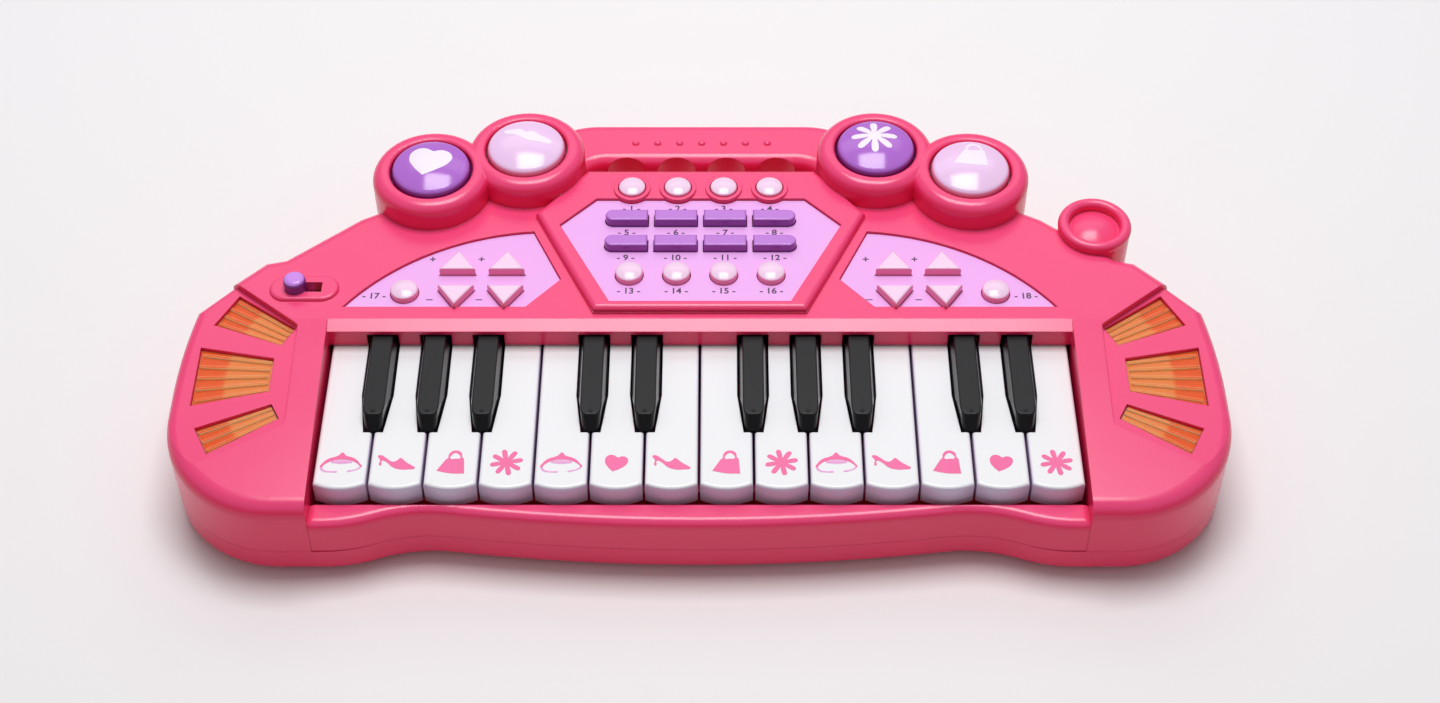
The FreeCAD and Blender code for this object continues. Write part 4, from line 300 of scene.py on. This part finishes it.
FINISHES = {
    "upper_case": pink_case, "lower_case": pink_case, "battery_door": pink_case,
    "panel_overlays": lilac_film, "light_lenses": orange_lens,
    "circuit_boards": green_board, "contact_rubbers": grey_rubber, "loudspeaker": black_basket,
    "key_pivot_rod": drawn_steel, "battery_contacts": bright_nickel, "case_screws": screw_zinc,
    "power_switch_knob": violet_knob, "top_row_buttons": pale_caps, "bottom_row_buttons": pale_caps,
    "drum_pad_1": purple_pads, "drum_pad_2": pale_pads, "drum_pad_3": purple_pads, "drum_pad_4": pale_pads,
}
# Families of pieces with one finish. Every piece in neither list is a pale cap.
FAMILIES = {"white_key": white_keys, "black_key": black_keys, "tone_button": purple_caps}
for node_name, node_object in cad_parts.items():
    family = next((FAMILIES[word] for word in FAMILIES if node_name.startswith(word)), pale_caps)
    finish = FINISHES.get(node_name, family)
    node_object.data.materials.clear()
    node_object.data.materials.append(finish)


# Printed figures: closed outlines in millimetres about their own middle, curved but at points marked corner.
def petals(count, notch, reach, width, turn=0.0):
    """A flower's outline: rounded petals that part at notch from the middle."""
    gap = math.pi / count
    # One petal along X: its notch, then points at shares of its reach and width.
    petal = [(notch * math.cos(gap), -notch * math.sin(gap), "corner"), (reach * 0.7, -width * 0.5),
             (reach * 0.94, -width * 0.36), (reach, 0.0), (reach * 0.94, width * 0.36),
             (reach * 0.7, width * 0.5)]
    loop = []
    for index in range(count):
        angle = turn + 2 * math.pi * index / count
        for x, y, *corner in petal:
            loop.append((x * math.cos(angle) - y * math.sin(angle), x * math.sin(angle) + y * math.cos(angle),
                         *corner))
    return [loop]


HEART = [[(-1.2, -3.9, "corner"), (-2.9, -1.9), (-3.9, 0.6), (-3.2, 2.7), (-1.6, 3.3), (0.4, 2.1, "corner"),
          (2.3, 2.6), (3.8, 1.4), (3.5, -0.6), (1.4, -2.6)]]
SHOE = [[(-6.4, 2.9), (-5.4, 3.1), (-3.6, 1.9), (-1.2, 0.3), (0.2, 0.9), (1.2, 1.9), (2.2, 1.2), (3.4, 0.0),
         (5.4, -1.4), (6.4, -2.4), (4.4, -3.0), (0.8, -2.9), (-1.4, -1.9), (-3.4, 0.1), (-4.9, 0.7),
         (-5.1, -1.2), (-5.6, -1.3), (-5.6, 1.0)]]
BAG = [[(-4.8, -3.6, "corner"), (-1.9, 1.4, "corner"), (-1.5, 1.6), (-0.9, 3.9), (1.0, 5.2), (3.1, 4.2),
        (3.7, 1.9), (4.1, 1.7, "corner"), (4.6, -4.8, "corner"), (0.0, -4.7)],
       [(-0.5, 1.7), (0.0, 3.3), (1.1, 4.1), (2.3, 3.4), (2.8, 1.9), (1.2, 1.6)]]
FLOWER = petals(8, 2.0, 5.6, 1.8, 0.2)
TIARA = [[(-6.9, -2.2), (-6.3, -0.3), (-4.9, 1.3), (-3.6, 2.0), (-2.4, 2.4), (-1.2, 3.1), (0.0, 4.3),
          (1.1, 3.1), (2.4, 2.5), (3.6, 2.1), (4.9, 1.2), (6.2, -0.4), (6.9, -1.9), (5.6, -0.7), (3.8, 0.5),
          (2.0, 1.0), (0.0, 1.2), (-2.0, 1.0), (-3.8, 0.4), (-5.6, -0.9)]]
TIARA_BAND = [[(-6.9, -2.4), (-6.0, -3.8), (-3.6, -4.3), (-1.0, -4.2), (-1.0, -3.9), (-3.6, -3.8),
               (-5.6, -3.2), (-6.5, -2.1)],
              [(2.2, -4.0), (4.8, -3.5), (6.3, -2.7), (6.8, -2.1), (6.4, -1.9), (5.8, -2.4), (4.6, -3.1),
               (2.2, -3.7)],
              [(-3.6, 0.2), (-2.0, 0.7), (0.0, 0.9), (2.0, 0.7), (3.6, 0.2), (2.0, -0.4), (0.0, -0.6),
               (-2.0, -0.4)]]
LIPS = [[(-8.8, 3.6), (-5.0, 3.9), (-2.6, 3.7), (-0.6, 1.9), (1.8, 2.4), (4.8, 0.2), (9.0, -2.9), (4.4, -3.4),
         (0.2, -2.8), (-3.6, -0.2)]]
OUTLINES = {"tiara": TIARA, "shoe": SHOE, "bag": BAG, "flower": FLOWER, "heart": HEART}
KEY_FIGURES = ("tiara", "shoe", "bag", "flower", "tiara", "heart", "shoe", "bag", "flower", "tiara", "shoe",
               "bag", "heart", "flower")


def filled(loops, thickness):
    """A mesh, in millimetres, of outlines filled as a printer's plate is. An outline inside another is a
    hole in it."""
    sheet = bpy.data.curves.new("outline", "CURVE")
    sheet.dimensions = "2D"
    sheet.fill_mode = "BOTH"
    sheet.extrude = thickness / 2
    sheet.resolution_u = 6
    for loop in loops:
        spline = sheet.splines.new("BEZIER")
        spline.bezier_points.add(len(loop) - 1)
        spline.use_cyclic_u = True
        for point, corner in zip(spline.bezier_points, loop):
            point.co = (corner[0], corner[1], 0)
            kind = "VECTOR" if len(corner) == 3 else "AUTO"
            point.handle_left_type = point.handle_right_type = kind
    return taken_mesh(sheet)


def taken_mesh(curve):
    """The mesh of a curve or text, whose own object then goes."""
    holder = bpy.data.objects.new("holder", curve)
    bpy.context.scene.collection.objects.link(holder)
    bpy.context.view_layer.update()
    mesh = bpy.data.meshes.new_from_object(holder.evaluated_get(bpy.context.evaluated_depsgraph_get()))
    bpy.data.objects.remove(holder)
    return mesh


def piece(name, mesh, material, body, matrix=None):
    """An object of that mesh, in the part's frame, that rides on a body."""
    mesh.transform(matrix or Matrix.Identity(4))
    mesh.materials.clear()
    mesh.materials.append(material)
    made = bpy.data.objects.new(name, mesh)
    bpy.context.scene.collection.objects.link(made)
    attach(made, body)
    return made


def at(x, back, z):
    """Millimetres across, from the keys and up, as a matrix that also turns millimetres to metres."""
    return Matrix.Translation(Vector((x, KEYS + back, z)) * MM) @ Matrix.Scale(MM, 4)


def key_x(number):
    """Millimetres across to a white key's middle; a half lies between two keys."""
    return (number - (WHITE_KEYS + 1) / 2) * KEY_PITCH


# Figures on the white keys, printed flat on their tops: thickness, and middle from the keys' fronts.
PRINT_THICKNESS = 0.16
FIGURE_BACK = 11.2
for number, figure in enumerate(KEY_FIGURES, 1):
    spot = at(key_x(number), FIGURE_BACK, WHITE_TOP)
    body = f"white_key_{number:02d}"
    print_mesh = filled(OUTLINES[figure], PRINT_THICKNESS)
    piece(f"{figure}_print_{number:02d}", print_mesh, key_ink, body, spot)
    if figure == "tiara":
        band_mesh = filled(TIARA_BAND, PRINT_THICKNESS)
        piece(f"tiara_band_print_{number:02d}", band_mesh, tiara_ink, body, spot)


# Figures on the pads: the longest edge that still follows the crown, the ink's thickness, and where that
# lies, from -1 for all inward to 1 for all outward.
CROWN_EDGE = 0.9
CROWN_INK = 0.12
INK_OUTWARD = 0.2


def laid_on_dome(loops):
    """A printed figure pressed onto a pad's crown, split finely enough to follow it."""
    flat = filled(loops, 0)
    mesh = bmesh.new()
    mesh.from_mesh(flat)
    bmesh.ops.remove_doubles(mesh, verts=mesh.verts, dist=SAME_POINT)
    bmesh.ops.triangulate(mesh, faces=mesh.faces)
    while long_edges := [edge for edge in mesh.edges if edge.calc_length() > CROWN_EDGE]:
        bmesh.ops.subdivide_edges(mesh, edges=long_edges, cuts=1)
        bmesh.ops.triangulate(mesh, faces=mesh.faces)
    for vertex in mesh.verts:
        vertex.co.z = math.sqrt(PAD_SPHERE ** 2 - vertex.co.xy.length_squared) - PAD_SPHERE
    mesh.to_mesh(flat)
    mesh.free()
    return flat


def moved(loops, x, y, size=1.0):
    """Outlines scaled by size and then moved."""
    return [[(size * point[0] + x, size * point[1] + y, *point[2:]) for point in loop] for loop in loops]


DAISY = petals(8, 2.2, 8.4, 2.6, math.pi / 2)
PAD_FIGURES = {1: ("heart", moved(HEART, x=0, y=1.0, size=2.0)), 2: ("lips", moved(LIPS, x=0.5, y=2.6)),
               3: ("daisy", moved(DAISY, x=-0.5, y=2.4)), 4: ("bag", moved(BAG, x=0, y=4.0, size=1.3))}
for number, (figure, loops) in PAD_FIGURES.items():
    x, back = PADS[number]
    made = piece(f"{figure}_print_pad_{number}", laid_on_dome(loops), pale_ink, f"drum_pad_{number}",
                 at(x, back, PAD_TOP))
    layer = made.modifiers.new("ink", "SOLIDIFY")
    layer.thickness = CROWN_INK * MM
    layer.offset = INK_OUTWARD


# Numbers and signs on the overlays: heights, the font's size for each millimetre of height, how far the
# strokes are spread, and half the ink's thickness.
NUMBER_HEIGHT = 2.7
SIGN_HEIGHT = 3.0
FONT_SIZE = 1.4
STROKE_SPREAD = 0.08
HALF_INK = 0.05
# Rows of numbers on the middle overlay: from the keys, and spacing.
NUMBER_ROWS = ((121.6, 16.8), (109.3, 17.8), (96.6, 17.8), (80.2, 16.8))
# Side overlays: the columns of triangular buttons, the signs left of them, and the round button's number.
TRIANGLE_COLUMNS = (69, 86.5)
PLUS_LEFT = 9.6
PLUS_BACK = 98.6
MINUS_LEFT = 9.2
MINUS_BACK = 79.0
ROUND_ACROSS = 115.4
ROUND_BACK = 80.6


def sheet_print(name, marks, z):
    """All marks (text, x, from the keys, height) of one overlay, as one print."""
    whole = bmesh.new()
    for text, x, back, height in marks:
        letters = bpy.data.curves.new("letters", "FONT")
        letters.body = text
        letters.align_x = "CENTER"
        letters.align_y = "CENTER"
        letters.size = height * FONT_SIZE
        letters.offset = STROKE_SPREAD
        letters.extrude = HALF_INK
        mesh = taken_mesh(letters)
        mesh.transform(at(x, back, z))
        whole.from_mesh(mesh)
    mesh = bpy.data.meshes.new(name)
    whole.to_mesh(mesh)
    whole.free()
    piece(name, mesh, label_ink, "case")


middle_marks = []
for row, (back, pitch) in enumerate(NUMBER_ROWS):
    for column, across in enumerate(COLUMNS):
        label = f"- {row * len(COLUMNS) + column + 1} -"
        middle_marks.append((label, across * pitch, back, NUMBER_HEIGHT))
sheet_print("middle_panel_numbers", middle_marks, MIDDLE_FILM)
for side, word, number in ((-1, "left", 17), (1, "right", 18)):
    marks = [("+", side * column - PLUS_LEFT, PLUS_BACK, SIGN_HEIGHT) for column in TRIANGLE_COLUMNS]
    marks += [("–", side * column - MINUS_LEFT, MINUS_BACK, SIGN_HEIGHT) for column in TRIANGLE_COLUMNS]
    marks.append((f"- {number} -", side * ROUND_ACROSS, ROUND_BACK, NUMBER_HEIGHT))
    sheet_print(f"{word}_panel_signs", marks, SIDE_FILM)


def turned(profile, steps=24):
    """A mesh turned about Z from (radius, height) points in millimetres."""
    mesh = bmesh.new()
    chain = [mesh.verts.new((radius, 0, height)) for radius, height in profile]
    edges = [mesh.edges.new(pair) for pair in zip(chain, chain[1:])]
    bmesh.ops.spin(mesh, geom=chain + edges, axis=(0, 0, 1), cent=(0, 0, 0), angle=2 * math.pi, steps=steps,
                   use_merge=True)
    bmesh.ops.remove_doubles(mesh, verts=mesh.verts, dist=SAME_POINT)
    bmesh.ops.recalc_face_normals(mesh, faces=mesh.faces)
    for face in mesh.faces:
        face.smooth = True
    made = bpy.data.meshes.new("turned")
    mesh.to_mesh(made)
    mesh.free()
    return made


# A small moulded pip behind each black key's tip: its place from the keys, and its profile.
PIP_BACK = 29.7
PIP = [(0.0, 0.32), (0.3, 0.28), (0.55, 0.17), (0.7, 0.02), (0.72, -0.3)]
for number, after in enumerate(BLACK_AFTER, 1):
    piece(f"pip_{number:02d}", turned(PIP), black_keys, f"black_key_{number:02d}",
          at(key_x(after + 0.5), PIP_BACK, BLACK_TOP))

# Plain pale floor, to 4 m each way.
FLOOR_REACH = 4.0
floor_mesh = bpy.data.meshes.new("floor")
floor_corners = [(x * FLOOR_REACH, y * FLOOR_REACH, 0) for x, y in ((-1, -1), (1, -1), (1, 1), (-1, 1))]
floor_mesh.from_pydata(floor_corners, [], [(0, 1, 2, 3)])
floor = bpy.data.objects.new("floor", floor_mesh)
bpy.context.scene.collection.objects.link(floor)
# Matt painted floor: an even, nearly white ground that takes a soft shadow.
floor_paint, floor_tree, floor_output = blank("matt_white_painted_floor")
floor_shader = add(floor_tree, "BsdfPrincipled", {"Base Color": linear("#F4F2F4"), "Roughness": 0.7})
floor_tree.links.new(floor_shader.outputs["BSDF"], floor_output.inputs["Surface"])
floor_mesh.materials.append(floor_paint)


# Soft studio light: the place that the lamps face, and the strength of the light from all round.
LIGHT_AIM = (0, 0, 0)
ROOM_LIGHT = 0.28


def softbox(name, place, width, depth, watts):
    """A rectangular lamp that faces the part."""
    lamp = bpy.data.lights.new(name, "AREA")
    lamp.shape = "RECTANGLE"
    lamp.size = width
    lamp.size_y = depth
    lamp.energy = watts
    holder = bpy.data.objects.new(name, lamp)
    bpy.context.scene.collection.objects.link(holder)
    holder.location = place
    holder.rotation_euler = (Vector(LIGHT_AIM) - Vector(place)).to_track_quat("-Z", "Y").to_euler()


softbox("top_softbox", place=(0.0, 0.25, 1.35), width=0.75, depth=0.6, watts=13)
softbox("back_softbox", place=(0.0, 1.3, 1.25), width=2.0, depth=0.8, watts=4.5)
world = bpy.data.worlds.new("studio")
world.use_nodes = True
background = world.node_tree.nodes["Background"]
background.inputs["Color"].default_value = (1, 1, 1, 1)
background.inputs["Strength"].default_value = ROOM_LIGHT
scene = bpy.context.scene
scene.world = world
scene.view_settings.view_transform = "Standard"

# Camera at the photograph's angle.
lens = bpy.data.cameras.new("camera")
lens.sensor_width = 36
lens.lens = 57.2
camera = bpy.data.objects.new("camera", lens)
scene.collection.objects.link(camera)
camera.location = (0.00706, -0.5622, 0.6308)
camera.rotation_euler = (math.radians(42), 0, 0)
scene.camera = camera
